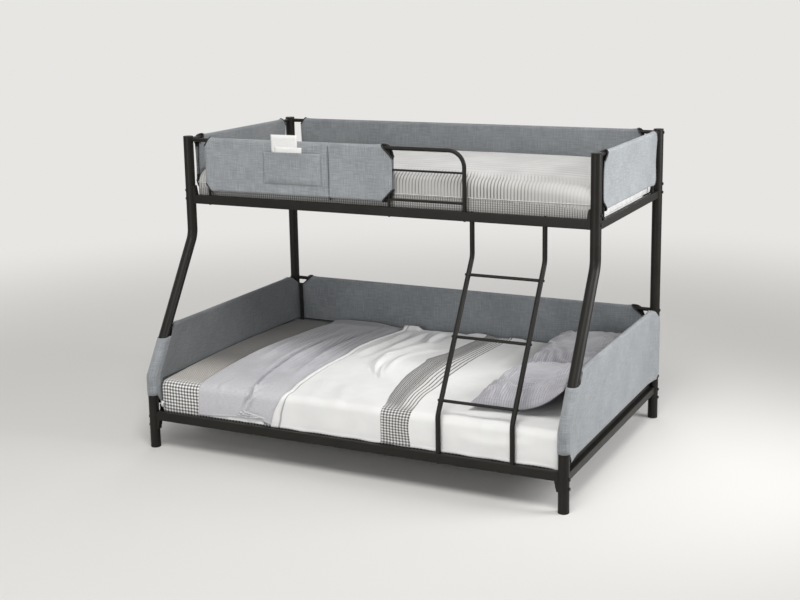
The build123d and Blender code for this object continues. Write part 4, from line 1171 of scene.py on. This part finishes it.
class Pad:
    def __init__(self, node):
        self.node, self.size = node, mattresses[node]
        self.low, self.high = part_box(node)
        self.low.x -= self.size["longer"]
        self.high.x += self.size["longer"]
        self.half = (self.high.y - self.low.y) / 2
        self.middle = (self.high.y + self.low.y) / 2
        self.centre = (self.low.x + self.high.x) / 2
        self.straight = (self.high.x - self.low.x) / 2 - self.size["endRound"]

    def draw(self, x):
        # how far the section is drawn in at a station
        over = min(max(abs(x - self.centre) - self.straight, 0) / self.size["endRound"], 1)
        return self.size["endDraw"] * (1 - sqrt(max(1 - over**2, 0)))

    def droop(self, x):
        # the top softens and sinks towards the two ends
        fromEnd = max(min(x - self.low.x, self.high.x - x), 0)
        return self.size["sag"] * 2.72 ** (-fromEnd / droopSizes["reach"])

    def outline(self, draw=0.0, outset=0.0, gap=0.012, droop=0.0):
        # open outline from the front of the base, up, over the crown and down the back
        foot = self.size["foot"]
        half = self.half - draw + outset
        low = self.low.z + draw - outset
        shoulder = self.low.z + self.size["side"] - draw + outset - droop * droopSizes["shoulder"]
        crown = self.size["crown"] - draw / 2
        across, upward = (self.size["knee"] + droop * droopSizes[k] for k in ("across", "upward"))
        edge, sideLow, sideTop = half - across, low + foot, shoulder - upward
        turns = [-pi / 2 - pi / 2 * k / 5 for k in range(5)]
        spots = [(-half + foot + foot * cos(a), sideLow + foot * sin(a)) for a in turns]
        spots += [(-half, sideLow + (sideTop - sideLow) * k / 12) for k in range(12)]
        turns = [pi - pi / 2 * k / 10 for k in range(10)]
        spots += [(-edge + across * cos(a), sideTop + upward * sin(a)) for a in turns]
        back = [(-y, z) for y, z in spots[::-1]]
        radius = (edge**2 + crown**2) / (2 * crown)
        tops = ceil(2 * self.half / gap)
        for y in [-edge + 2 * edge * k / tops for k in range(tops + 1)]:
            spots.append((y, shoulder + crown - radius + sqrt(radius**2 - y**2)))
        return np.array(spots + back) + (self.middle, 0)

    def stations(self, gap):
        ends = [self.straight + self.size["endRound"] * sin(pi / 2 * k / 9) for k in range(1, 10)]
        inner = np.linspace(-self.straight, self.straight, ceil(2 * self.straight / gap))
        return [self.centre + v for v in (*[-e for e in ends[::-1]], *inner, *ends)]


def makeMattress(pad):
    size, skin = pad.size, Skin()
    arc = runLength(pad.outline(gap=size["gap"]))
    sections, cuts = [], []
    for x in pad.stations(size["gap"]):
        spots = pad.outline(pad.draw(x), 0.0, size["gap"], pad.droop(x))
        sections.append(grid(x, *spots.T))
        cuts.append(grid(x, arc))
    points, cuts = np.array(sections), np.array(cuts)
    normal = np.cross(np.gradient(points, axis=0), np.gradient(points, axis=1))
    normal /= np.maximum(np.linalg.norm(normal, axis=-1, keepdims=True), 1e-9)
    outwards = np.sign((normal[..., 2] * (points[..., 2] - pad.low.z - size["side"] / 2)).sum())
    ripples = ((size["ripple"], 7.0), (size["ripple"] * 0.3, 26.0))
    wave = dents(cuts[..., 0], cuts[..., 1], ripples, pad.low.z)
    points = points - normal * outwards * wave[..., None]
    skin.patch(points, cuts)
    base = np.stack([points[:, -1], points[:, 0]], axis=1)
    skin.patch(base, np.stack([cuts[:, -1], cuts[:, -1] + (0, pad.half * 2)], axis=1))
    for row, way in ((0, -1), (-1, 1)):
        ring = np.concatenate([points[row], points[row][:1]])
        centre = ring.mean(axis=0)
        rings = np.array([centre + (ring - centre) * s + (way * bulge, 0, 0) for s, bulge in endRings])
        skin.patch(rings, rings[..., 1:] + (0, -pad.low.z), len(size["paints"]) - 1)
    piece = skin.piece(size["piece"], size["paints"], size["slot"], size["body"])
    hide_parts(pad.node)
    return piece


upperPad, lowerPad = Pad("upper_mattress"), Pad("lower_mattress")
makeMattress(upperPad)
lowerPiece = makeMattress(lowerPad)

# Piped seam round the middle of the upper mattress
piping = {"height": 0.082, "radius": 0.0015, "gap": 0.03, "proud": 0.0002}


def makePiping(pad):
    frontY = pad.middle - pad.half - piping["proud"]
    height = pad.low.z + piping["height"]
    front = [(x, frontY + pad.draw(x), height) for x in pad.stations(piping["gap"])]
    back = [(x, 2 * pad.middle - y, z) for x, y, z in front[::-1]]
    name, size = "upper_mattress_piping", pad.size
    cordPiece(name, mattressEnd, size["slot"], size["body"], front + back, piping["radius"], 8, closed=True)


makePiping(upperPad)
print("mattresses made")

# Black cord that paints the shadow in the gap between the sheet and the panels, and a white tab at the foot
# corner
gapShadowCord = {
    "x": -1.0035,
    "y": 0.6565,
    "z": 0.324,
    "radius": 0.0035,
    "alongY": (-0.62, 0.642),
    "alongX": (-0.985, 0.985),
}
cornerTab = {
    "x": (-0.982, -1.0),
    "y": -0.650,
    "z": (0.192, 0.222),
    "bow": 0.007,
    "slant": 0.3,
    "cloth": 0.001,
}


def makeGapShadowCord():
    size = gapShadowCord
    left = grid(size["x"], np.linspace(*size["alongY"], 60), size["z"])
    back = grid(np.linspace(*size["alongX"], 90), size["y"], size["z"])
    cordPiece("sheet_gap_shadow_cord", blackLining, "sheet_fabric", "frame", [*left, *back], size["radius"])


def makeCornerTab():
    (start, end), (low, high) = cornerTab["x"], cornerTab["z"]
    x, z = np.meshgrid(np.linspace(start, end, 5), np.linspace(low, high, 7))
    bow = cornerTab["bow"] * np.sin((z - low) / (high - low) * pi)
    y = cornerTab["y"] - bow - cornerTab["slant"] * (x - start)
    name, points, cloth = "sheet_corner_tab", grid(x, y, z), cornerTab["cloth"]
    clothPiece(name, whiteTape, "sheet_fabric", "frame", points, grid(x, z), cloth)


makeGapShadowCord()
makeCornerTab()

# Bedding: sheets laid over the lower mattress, in depth coordinates that run down its front
coverSizes = {
    "hemZ": 0.1797,
    "flare": 0.009,
    "flareReach": 0.015,
    "backY": 0.6265,
    "rows": 0.0072,
    "undersheet": {
        "outset": 0.003,
        "cloth": 0.0014,
        "left": -0.727,
        "right": -0.425,
        "above": 0.0004,
        "roll": 0.003,
        "rollWidth": 0.01,
        "marks": (0, 0.003, 0.008, 0.016, 0.03, 0.05),
    },
    "blanket": {
        "outset": 0.0048,
        "cloth": 0.0022,
        "columns": 74,
        "tuck": 0.03,
        "gain": 2.1,
        "waves": ((0.0012, 1.0, 1.0, 6.0, 5.0), (0.0006, 2.0, 1.0, 18.0, 6.0)),
        "puff": 0.006,
        "puffReach": (0.07, 0.1),
        "deepest": -0.0018,
        "under": 0.05,
        "underFade": 0.02,
        "underDip": 0.0012,
        "edge": 0.0012,
        "edgeWidth": 0.004,
        "calm": (0.25, -0.62, 0.06),
        "flare": 0.5,
        "riseReach": 0.07,
        "risePower": 1.3,
        "grooveShade": 110.0,
    },
    "duvet": {
        "outset": 0.0115,
        "cloth": 0.0032,
        "endGap": 0.004,
        "widen": (1.1, -0.64, 0.13),
        "gain": 1.5,
        "waves": ((0.0028, 1.0, 1.0, 5.0, 7.0), (0.0012, 1.0, 1.5, 16.0, 8.0)),
        "deepest": -0.005,
        "roll": ((0.0045, 0.0105, 0.008), (-0.005, 0.0225, 0.0022)),
        "rollEdge": 0.006,
        "rollEdgeWidth": 0.004,
        "bandStep": 0.0024,
        "bandEdge": 0.0012,
        "bandReach": 0.06,
        "backRipple": (0.004, 0.55, 0.07),
        "calm": (0.3, -0.60, 0.05),
        "hemLimit": (0.0012, 0.02, 0.06),
        "flare": 0.6,
        "hemWave": (0.0012, 0.03, 37),
    },
}
# edges as (depth, x), the front first
blanketLeft = [
    (-0.80, -0.785), (-0.70, -0.780), (-0.62, -0.776), (-0.55, -0.786), (-0.226, -0.793), (0.0, -0.790),
    (0.15, -0.785), (0.27, -0.770), (0.42, -0.763), (0.56, -0.745), (0.64, -0.735),
]
blanketSeam = [
    (-0.80, -0.388), (-0.74, -0.370), (-0.665, -0.332), (-0.61, -0.318), (-0.486, -0.336), (-0.30, -0.343),
    (-0.034, -0.338), (0.11, -0.350), (0.30, -0.338), (0.44, -0.320), (0.64, -0.308),
]
bandLeft = [
    (-0.80, 0.177), (-0.665, 0.178), (-0.61, 0.175), (-0.507, 0.150), (-0.371, 0.123), (-0.219, 0.096),
    (0.0, 0.084), (0.06, 0.076), (0.18, 0.112), (0.25, 0.118), (0.49, 0.142), (0.64, 0.16),
]
bandRight = [
    (-0.80, 0.320), (-0.72, 0.312), (-0.65, 0.320), (-0.58, 0.312), (-0.446, 0.294), (-0.30, 0.298),
    (-0.1, 0.284), (0.16, 0.282), (0.49, 0.292), (0.64, 0.30),
]

# ridges as (points in plan, height, half width); grooves have a height below zero
duvetFolds = [
    ([(-0.08, -0.23), (-0.13, -0.07), (-0.14, 0.09), (-0.09, 0.22), (-0.04, 0.33), (0.02, 0.41)],
     0.010, 0.024),
    ([(0.0, -0.29), (-0.05, -0.08), (-0.04, 0.07), (0.02, 0.19), (0.08, 0.27)], 0.008, 0.020),
    ([(-0.17, 0.60), (-0.16, 0.35), (-0.17, 0.17), (-0.20, -0.06)], 0.009, 0.022),
    ([(-0.27, 0.58), (-0.25, 0.35), (-0.27, 0.12), (-0.29, -0.08)], 0.006, 0.022),
    ([(-0.08, 0.62), (-0.08, 0.44), (-0.06, 0.30)], 0.009, 0.018),
    ([(0.035, 0.35), (-0.034, 0.26), (-0.087, 0.137), (-0.138, 0.018), (-0.129, -0.13), (-0.087, -0.222),
      (-0.043, -0.275)], -0.009, 0.0085),
    ([(-0.033, 0.14), (-0.085, 0.021), (-0.093, -0.115), (-0.05, -0.243), (0.0, -0.328)], -0.008, 0.0075),
    ([(-0.239, 0.562), (-0.201, 0.315), (-0.204, 0.149), (-0.252, -0.029)], -0.007, 0.011),
    ([(-0.145, 0.623), (-0.142, 0.49), (-0.114, 0.31)], -0.008, 0.009),
    ([(-0.11, -0.42), (-0.06, -0.58), (-0.02, -0.72)], 0.003, 0.03),
    ([(-0.27, -0.35), (-0.2, -0.5), (-0.19, -0.72)], 0.0025, 0.035),
    ([(0.36, 0.62), (0.42, 0.35), (0.40, 0.05)], 0.004, 0.03),
    ([(0.45, -0.6), (0.62, -0.64), (0.86, -0.60)], 0.0035, 0.03),
    ([(0.52, -0.72), (0.7, -0.74), (0.93, -0.70)], 0.0025, 0.02),
    ([(-0.33, 0.57), (-0.27, 0.60), (-0.21, 0.60)], 0.016, 0.02),
    ([(0.02, 0.60), (0.13, 0.62), (0.22, 0.60)], 0.007, 0.016),
    ([(0.26, 0.61), (0.32, 0.62), (0.38, 0.60)], 0.006, 0.014),
]
blanketFolds = [
    ([(-0.80, 0.60), (-0.66, 0.605), (-0.50, 0.605), (-0.36, 0.60)], 0.008, 0.028),
    ([(-0.46, 0.60), (-0.49, 0.315), (-0.51, 0.136), (-0.52, -0.05), (-0.52, -0.25), (-0.50, -0.46)],
     0.010, 0.018),
    ([(-0.58, 0.50), (-0.58, 0.136), (-0.59, -0.05), (-0.585, -0.25), (-0.56, -0.46)], 0.008, 0.018),
    ([(-0.47, 0.62), (-0.521, 0.315), (-0.541, 0.136), (-0.55, -0.052), (-0.55, -0.246), (-0.533, -0.459),
      (-0.492, -0.65), (-0.515, -0.69), (-0.54, -0.735)], -0.010, 0.008),
    ([(-0.40, 0.60), (-0.42, 0.30), (-0.43, 0.06), (-0.42, -0.2), (-0.40, -0.5)], 0.008, 0.015),
    ([(-0.43, 0.62), (-0.455, 0.30), (-0.47, 0.06), (-0.455, -0.2)], -0.006, 0.008),
    ([(-0.55, -0.745), (-0.52, -0.68), (-0.47, -0.60), (-0.44, -0.52)], 0.005, 0.009),
    ([(-0.52, -0.745), (-0.49, -0.69), (-0.44, -0.63)], 0.004, 0.007),
    ([(-0.78, -0.25), (-0.77, 0.0), (-0.72, 0.29)], 0.004, 0.015),
    ([(-0.66, 0.60), (-0.66, 0.30), (-0.70, 0.05), (-0.70, -0.3)], 0.006, 0.016),
    ([(-0.67, -0.76), (-0.66, -0.66), (-0.64, -0.5)], 0.002, 0.014),
    ([(-0.565, -0.752), (-0.51, -0.772), (-0.43, -0.785)], 0.0062, 0.0046),
    ([(-0.575, -0.764), (-0.53, -0.782), (-0.48, -0.792)], 0.0056, 0.0042),
    ([(-0.545, -0.742), (-0.48, -0.765), (-0.41, -0.778)], 0.0056, 0.0046),
]
# how far the blanket's hem climbs, as (x, rise)
hemRise = [
    (-0.80, 0.0), (-0.74, 0.003), (-0.70, 0.007), (-0.586, 0.017), (-0.50, 0.021), (-0.445, 0.021),
    (-0.41, 0.010), (-0.39, 0.003),
]
# stations across the duvet's rolled edge
duvetRoll = (0, 0.002, 0.005, 0.009, 0.013, 0.017, 0.0195, 0.0215, 0.0235, 0.026, 0.03)
# stations at the band's left edge, as (offset, place in the band)
bandEdge = ((-0.004, -0.03), (-0.0012, -0.009), (0.0, 0.0), (0.0012, 0.008))


def ridges(x, depth, folds, gain):
    lift = np.zeros_like(x)
    for path, height, width in folds:
        line = smoothPath(path, 40)
        start, run = line[:-1], np.diff(line, axis=0)
        px, py = x[..., None] - start[:, 0], depth[..., None] - start[:, 1]
        part = np.clip((px * run[:, 0] + py * run[:, 1]) / (run**2).sum(axis=1), 0, 1)
        dx, dy = px - part * run[:, 0], py - part * run[:, 1]
        away = np.hypot(dx, dy)
        nearest = away.argmin(axis=-1)[..., None]
        turned = run[:, 0] * dy - run[:, 1] * dx
        away, part, turned = (np.take_along_axis(v, nearest, -1)[..., 0] for v in (away, part, turned))
        part = (nearest[..., 0] + part) / len(run)
        ends = ease(fadeIn(np.minimum(part, 1 - part), 0.3))
        # each ridge drops into a shallow hollow on one side
        across = away * np.sign(turned) / width
        lift += gain * height * ends * (bell(across, 1) - 0.5 * bell(across - 1.7, 1.1))
    return lift


def coverSection(pad, draw, outset):
    # the grown section with its depths, which are 0 at the bed's middle and fall towards the front
    spots = pad.outline(draw, outset)
    arc = runLength(spots)
    return spots, arc - arc[np.argmax(spots[:, 0] > pad.middle)] + pad.middle


def layOver(pad, x, depth, outset, lift):
    # points at their depths on the grown pad, moved out by lift
    points = np.zeros((*x.shape, 3))
    sections = {}
    for r, c in np.ndindex(x.shape):
        key = round(pad.draw(x[r, c]), 4)
        if key not in sections:
            spots, arc = coverSection(pad, key, outset)
            slopes = np.gradient(spots, axis=0)
            slopes /= np.linalg.norm(slopes, axis=1)[:, None]
            sections[key] = arc, np.hstack([spots, slopes]).T
        arc, profile = sections[key]
        y, z, slopeY, slopeZ = (np.interp(depth[r, c], arc, values) for values in profile)
        points[r, c] = (x[r, c], y - slopeZ * lift[r, c], z + slopeY * lift[r, c])
    return points


def hemDepth(pad, outset):
    spots, arc = coverSection(pad, 0.0, outset)
    rising = len(spots) // 3
    return np.interp(coverSizes["hemZ"], spots[:rising, 1], arc[:rising])


def hemFlare(x, depth, hem):
    # the hem turns out over the top of the rail
    near = 1 - fadeIn(depth - hem, coverSizes["flareReach"])
    return coverSizes["flare"] * near**2 * (0.75 + 0.5 * cloud(x, depth * 0, 11.0, 4.0))


def calmFront(lift, depth, size):
    # the folds grow shallower down the front
    amount, start, reach = size["calm"]
    return lift * (1 - amount * fadeIn(start - depth, reach))


def layCover(name, paint, slot, size, grids, band=None):
    # thick cloth over the lower mattress from grids of stations, depths and lifts
    x, depth, lift = grids
    points = layOver(lowerPad, x, depth, size["outset"], lift)
    band = None if band is None else grid(band, depth)
    return clothPiece(name, paint, slot, "frame", points, grid(x, depth), size["cloth"], band)


def makeUndersheet():
    # white edge that shows below the blanket's hem
    size = coverSizes["undersheet"]
    hem = hemDepth(lowerPad, size["outset"]) + size["above"]
    xs = np.linspace(size["left"], size["right"], 44)
    x, depth = np.meshgrid(xs, [hem + d for d in size["marks"]])
    lift = size["roll"] * bell(depth - hem, size["rollWidth"]) * (1 + 0.4 * np.sin(x * 80))
    piece = layCover("white_undersheet", whiteTape, "duvet_fabric", size, (x, depth, lift))


def makeBlanket():
    size = coverSizes["blanket"]
    hem = hemDepth(lowerPad, size["outset"])
    depths = np.arange(hem, coverSizes["backY"], coverSizes["rows"])[:, None]
    shares = np.linspace(0, 1, size["columns"])
    left, right = alongPath(blanketLeft, depths), alongPath(blanketSeam, depths) + size["tuck"]
    fromLeft = shares * (right - left)
    x = left + (right - left) * shares
    depth = np.broadcast_to(depths, x.shape)
    lift = ridges(x, depth, blanketFolds, size["gain"]) + waves(x, depth, size["waves"])
    fromSide, fromHem = size["puffReach"]
    lift += size["puff"] * fadeIn(fromLeft, fromSide) * fadeIn(depth - hem, fromHem)
    # flat where it lies under the duvet, with a raised left edge
    under = fadeIn(x - (right - size["under"]), size["underFade"])
    lift = np.maximum(lift, size["deepest"]) * (1 - under) - size["underDip"] * under
    lift += size["edge"] * bell(fromLeft, size["edgeWidth"])
    lift = calmFront(lift, depth, size) + hemFlare(x, depth, hem) * size["flare"]
    # the hem climbs to the pleats and falls again beside the duvet
    rise = np.interp(x, *np.array(hemRise).T)
    depth = depth + rise * (1 - fadeIn(depth - hem, size["riseReach"])) ** size["risePower"]
    # painted shade: how dark each groove is drawn in the cloth
    grooves = [fold for fold in blanketFolds if fold[1] < 0]
    deep = np.clip(-ridges(x, depth, grooves, size["grooveShade"]), 0, 1)
    piece = layCover("grey_blanket_cloth", blanketCloth, "blanket_fabric", size, (x, depth, lift), deep)
    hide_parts("grey_blanket")
    flat = (round(float((right - left).mean()), 3), round(float(coverSizes["backY"] - hem), 3))
    return flat


def duvetColumns(seam, left, right, end, widen):
    # stations from the rolled edge to the pillow end, each with its place in the woven band
    columns = [(seam + d * widen, -2.0 + 0.5 * d / duvetRoll[-1]) for d in duvetRoll]
    rolled = seam + duvetRoll[-1] * widen
    for share in np.linspace(0, 1, 64)[1:-1]:
        columns.append((rolled + (left - 0.004 - rolled) * share, -1.5 + 1.2 * share))
    for offset, band in bandEdge:
        columns.append((left + offset, band))
    for share in np.linspace(0.03, 1, 24):
        columns.append((left + (right - left) * share, share))
    for share in np.linspace(0, 1, 80)[1:]:
        columns.append((right + (end - right) * share, 1 + share))
    stations, bands = zip(*columns)
    return np.hstack(stations), np.array(bands)


def makeDuvet():
    size = coverSizes["duvet"]
    hem = hemDepth(lowerPad, size["outset"])
    depths = np.arange(hem, coverSizes["backY"], coverSizes["rows"])[:, None]
    seam, left, right = (alongPath(marks, depths) for marks in (blanketSeam, bandLeft, bandRight))
    end = np.full_like(depths, lowerPad.high.x - size["endGap"])
    # the rolled edge widens down the front
    more, start, reach = size["widen"]
    widen = 1 + more * fadeIn(start - depths, reach)
    x, bands = duvetColumns(seam, left, right, end, widen)
    depth = np.broadcast_to(depths, x.shape)
    lift = ridges(x, depth, duvetFolds, size["gain"]) + waves(x, depth, size["waves"])
    lift = np.maximum(lift, size["deepest"])
    # the roll, the groove beside it and its outer edge
    fromSeam = (x - seam) / widen
    for height, place, width in size["roll"]:
        lift += height * bell(fromSeam - place, width)
    lift -= size["rollEdge"] * (1 - fadeIn(fromSeam, size["rollEdgeWidth"]))
    # the top layer ends in a raised edge at the band
    fromBand = np.maximum(left - x, 0)
    lift += size["bandStep"] * fadeIn(fromBand, size["bandEdge"]) * np.exp(-(fromBand / size["bandReach"]))
    height, start, reach = size["backRipple"]
    lift += height * fadeIn(depth - start, reach) * (cloud(x, depth * 0, 14.0, 9.0) + 0.3)
    lift = calmFront(lift, depth, size)
    least, most, reach = size["hemLimit"]
    lift = np.minimum(lift, least + most * (1 - fadeIn(hem + reach - depth, reach)))
    lift += hemFlare(x, depth, hem) * size["flare"]
    height, reach, count = size["hemWave"]
    depth = depth + height * bell(depth - hem, reach) * (1 + np.sin(x * count))
    piece = layCover("white_duvet_cloth", duvetCloth, "duvet_fabric", size, (x, depth, lift), bands)
    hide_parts("white_duvet")
    flat = (round(float((end - seam).mean()), 3), round(float(coverSizes["backY"] - hem), 3))
    return flat


makeUndersheet()
print("blanket laid", makeBlanket())
print("duvet laid", makeDuvet())

# Pillows, each leaning a little against the end panel
pillowSizes = {
    "topSwell": 0.078,
    "bottomSwell": 0.026,
    "rows": 54,
    "columns": 46,
    "edge": 0.002,
    "pull": (0.085, 0.06),
    "fullness": (2.5, 2.8, 0.5),
    "folds": 11,
    "dent": 0.005,
    "lumps": ((0.008, 8.0, 0), (0.0025, 28.0, 1)),
    "propPower": 1.9,
    "rim": (0.4, 0.6),
    "hollow": (0.12, 7.0),
    "sag": 0.012,
    "seam": 0.0019,
}
# how far the end by the panel is propped up, how deep the creases are
pillows = {
    "front_pillow": {"body": "front_pillow_body", "seed": 11.0, "prop": 0.098, "creases": 0.0085},
    "back_pillow": {"body": "back_pillow_body", "seed": 23.0, "prop": 0.05, "creases": 0.0075},
}


def makePillow(node, shape):
    low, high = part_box(node)
    seed = shape["seed"]
    middleX, middleY = (low.x + high.x) / 2, (low.y + high.y) / 2
    halfX, halfY = (high.x - low.x) / 2, (high.y - low.y) / 2
    across, along = (np.sin(np.linspace(-pi / 2, pi / 2, pillowSizes[k])) for k in ("rows", "columns"))
    v, u = np.meshgrid(across, along, indexing="ij")
    outU, outV = np.abs(u), np.abs(v)
    pullX, pullY = pillowSizes["pull"]
    x = middleX + halfX * u * (1 - pullX * (1 - outV**3) * outU**2)
    y = middleY + halfY * v * (1 - pullY * (1 - outU**3) * outV**2)
    powerU, powerV, power = pillowSizes["fullness"]
    full = ((1 - outU**powerU) * (1 - outV**powerV)) ** power
    turn = np.arctan2(outV - 0.5, outU - 0.45)
    rimStart, rimReach = pillowSizes["rim"]
    rim = fadeIn(np.maximum(outU, outV) - rimStart, rimReach)
    creases = np.sin(turn * pillowSizes["folds"] + cloud(u, v, 2.0, seed) * 6) * rim * (1 - rim) * 4
    wide, scale = pillowSizes["hollow"]
    hollows = fadeIn(wide - np.abs(cloud(x, y * 0.6, scale, seed + 3)), wide)
    rough = shape["creases"] * creases - pillowSizes["dent"] * hollows
    rough += sum(depth * cloud(x, y, scale, seed + k) for depth, scale, k in pillowSizes["lumps"])
    sag = pillowSizes["sag"] * np.maximum(outU, outV) ** 2 * (1 - full) * np.clip(1 - u, 0, 1)
    prop = shape["prop"] * np.clip(u, 0, 1) ** pillowSizes["propPower"]
    level = high.z - pillowSizes["topSwell"] - sag + prop
    edge = pillowSizes["edge"] / 2 * (full > 1e-4)
    top = level + (edge + pillowSizes["topSwell"] * full + rough * np.minimum(full * 2.2, 1))
    bottom = level - (edge + pillowSizes["bottomSwell"] * full)
    skin = Skin()
    skin.patch(grid(x, y, top), grid(x, y))
    skin.patch(grid(x, y, bottom)[::-1], grid(x, y)[::-1])
    piece = skin.piece(node + "_case", [crinkledCotton], "pillow_fabric", shape["body"], crease=70)
    smooth = piece.modifiers.new("smoother", "SUBSURF")
    smooth.levels = smooth.render_levels = 1
    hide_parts(node)
    # sewn edge, once round the border of the grid
    lastRow, lastColumn = x.shape[0] - 1, x.shape[1] - 1
    border = [(0, c) for c in range(lastColumn)] + [(r, lastColumn) for r in range(lastRow)]
    border += [(lastRow, c) for c in range(lastColumn, 0, -1)] + [(r, 0) for r in range(lastRow, 0, -1)]
    spots = [(x[k], y[k], bottom[k] + pillowSizes["edge"] / 2) for k in border]
    name, size = node + "_edge", pillowSizes["seam"]
    cordPiece(name, crinkledCotton, "pillow_fabric", shape["body"], spots, size, closed=True)


for node, shape in pillows.items():
    makePillow(node, shape)
print("pillows made")

# Pale floor that fades to a plain background away from the bed
stageSizes = {
    "reach": 60.0,
    "floor": (0.66, 0.652, 0.637),
    "floorGrain": (0.64, 0.632, 0.617),
    "pale": (0.80, 0.79, 0.77),
    "fade": (2.2, 6.0),
    "sky": 0.32,
    "skyColour": (1.0, 0.99, 0.975),
}


def makeFloor():
    paint = Paint("pale_floor", {"Roughness": 0.85})
    spread = paint.grain(paint.place(), 3.0, 2.0)
    paint.give("Base Color", paint.mix(spread * 0.2, stageSizes["floor"], stageSizes["floorGrain"]))
    # far from the bed the camera sees the plain pale colour, and near it the floor with its shadow
    away = paint.node("VectorMath", {"operation": "LENGTH"}, {0: paint.place()}, "Value")
    seen = paint.node("LightPath", {}, {}, "Is Camera Ray")
    glow = paint.node("Emission", {}, {"Color": (*stageSizes["pale"], 1), "Strength": 1.0})
    lit = Wire(paint, paint.shader.outputs[0])
    paint.endIn(paint.node("MixShader", {}, {0: away.step(*stageSizes["fade"]) * seen, 1: lit, 2: glow}))
    skin = Skin()
    spots = np.linspace(-stageSizes["reach"], stageSizes["reach"], 9)
    x, y = np.meshgrid(spots, spots)
    skin.patch(grid(x, y, 0), grid(x, y))
    mesh = bpy.data.meshes.new("pale_floor")
    mesh.from_pydata(skin.points, [], skin.faces)
    mesh.materials.append(paint.material)
    floor = bpy.data.objects.new("pale_floor", mesh)
    bpy.context.scene.collection.objects.link(floor)


def makeSky():
    # soft light on everything, the plain pale colour where the camera or a reflection looks
    world = bpy.data.worlds.new("studio")
    world.use_nodes = True
    bpy.context.scene.world = world
    sky = Shading(world.node_tree)
    seen, mirrored = (sky.node("LightPath", {}, {}, f"Is {kind} Ray") for kind in ("Camera", "Glossy"))
    light, shown = (
        sky.node("Background", {}, {"Color": (*colour, 1), "Strength": strength})
        for colour, strength in ((stageSizes["skyColour"], stageSizes["sky"]), (stageSizes["pale"], 1.0))
    )
    sky.endIn(sky.node("MixShader", {}, {0: seen.larger(mirrored), 1: light, 2: shown}))


makeFloor()
makeSky()

lamps = {
    "key_lamp": {
        "place": (1.9, -4.0, 8.3),
        "aim": (0, 0, 0.6),
        "size": 4.0,
        "power": 550.0,
        "colour": (1.0, 0.99, 0.97),
        "spread": 180,
    },
    "front_lamp": {
        "place": (-1.2, -8.5, 2.2),
        "aim": (0, 0, 0.6),
        "size": 4.0,
        "power": 205.0,
        "colour": (0.98, 0.99, 1.0),
        "spread": 180,
    },
    "window_lamp": {
        "place": (3.2, 0.3, 1.75),
        "aim": (1.05, 0, 0.95),
        "size": 1.5,
        "power": 25.0,
        "colour": (0.985, 0.99, 1.0),
        "spread": 95,
    },
    "back_lamp": {
        "place": (-3.0, 7.0, 3.4),
        "aim": (0, 0, 0.7),
        "size": 3.5,
        "power": 75.0,
        "colour": (0.985, 0.99, 1.0),
        "spread": 180,
    },
}


def areaLamp(name, look):
    lamp = bpy.data.lights.new(name, "AREA")
    lamp.size = look["size"]
    lamp.energy = look["power"]
    lamp.color = look["colour"]
    lamp.spread = radians(look["spread"])
    made = bpy.data.objects.new(name, lamp)
    made.location = look["place"]
    heading = Vector(look["aim"]) - Vector(look["place"])
    made.rotation_euler = heading.to_track_quat("-Z", "Y").to_euler()
    made.visible_camera = False
    bpy.context.scene.collection.objects.link(made)


for name, look in lamps.items():
    areaLamp(name, look)
bpy.context.scene.view_settings.view_transform = "Standard"
print("light and floor set")
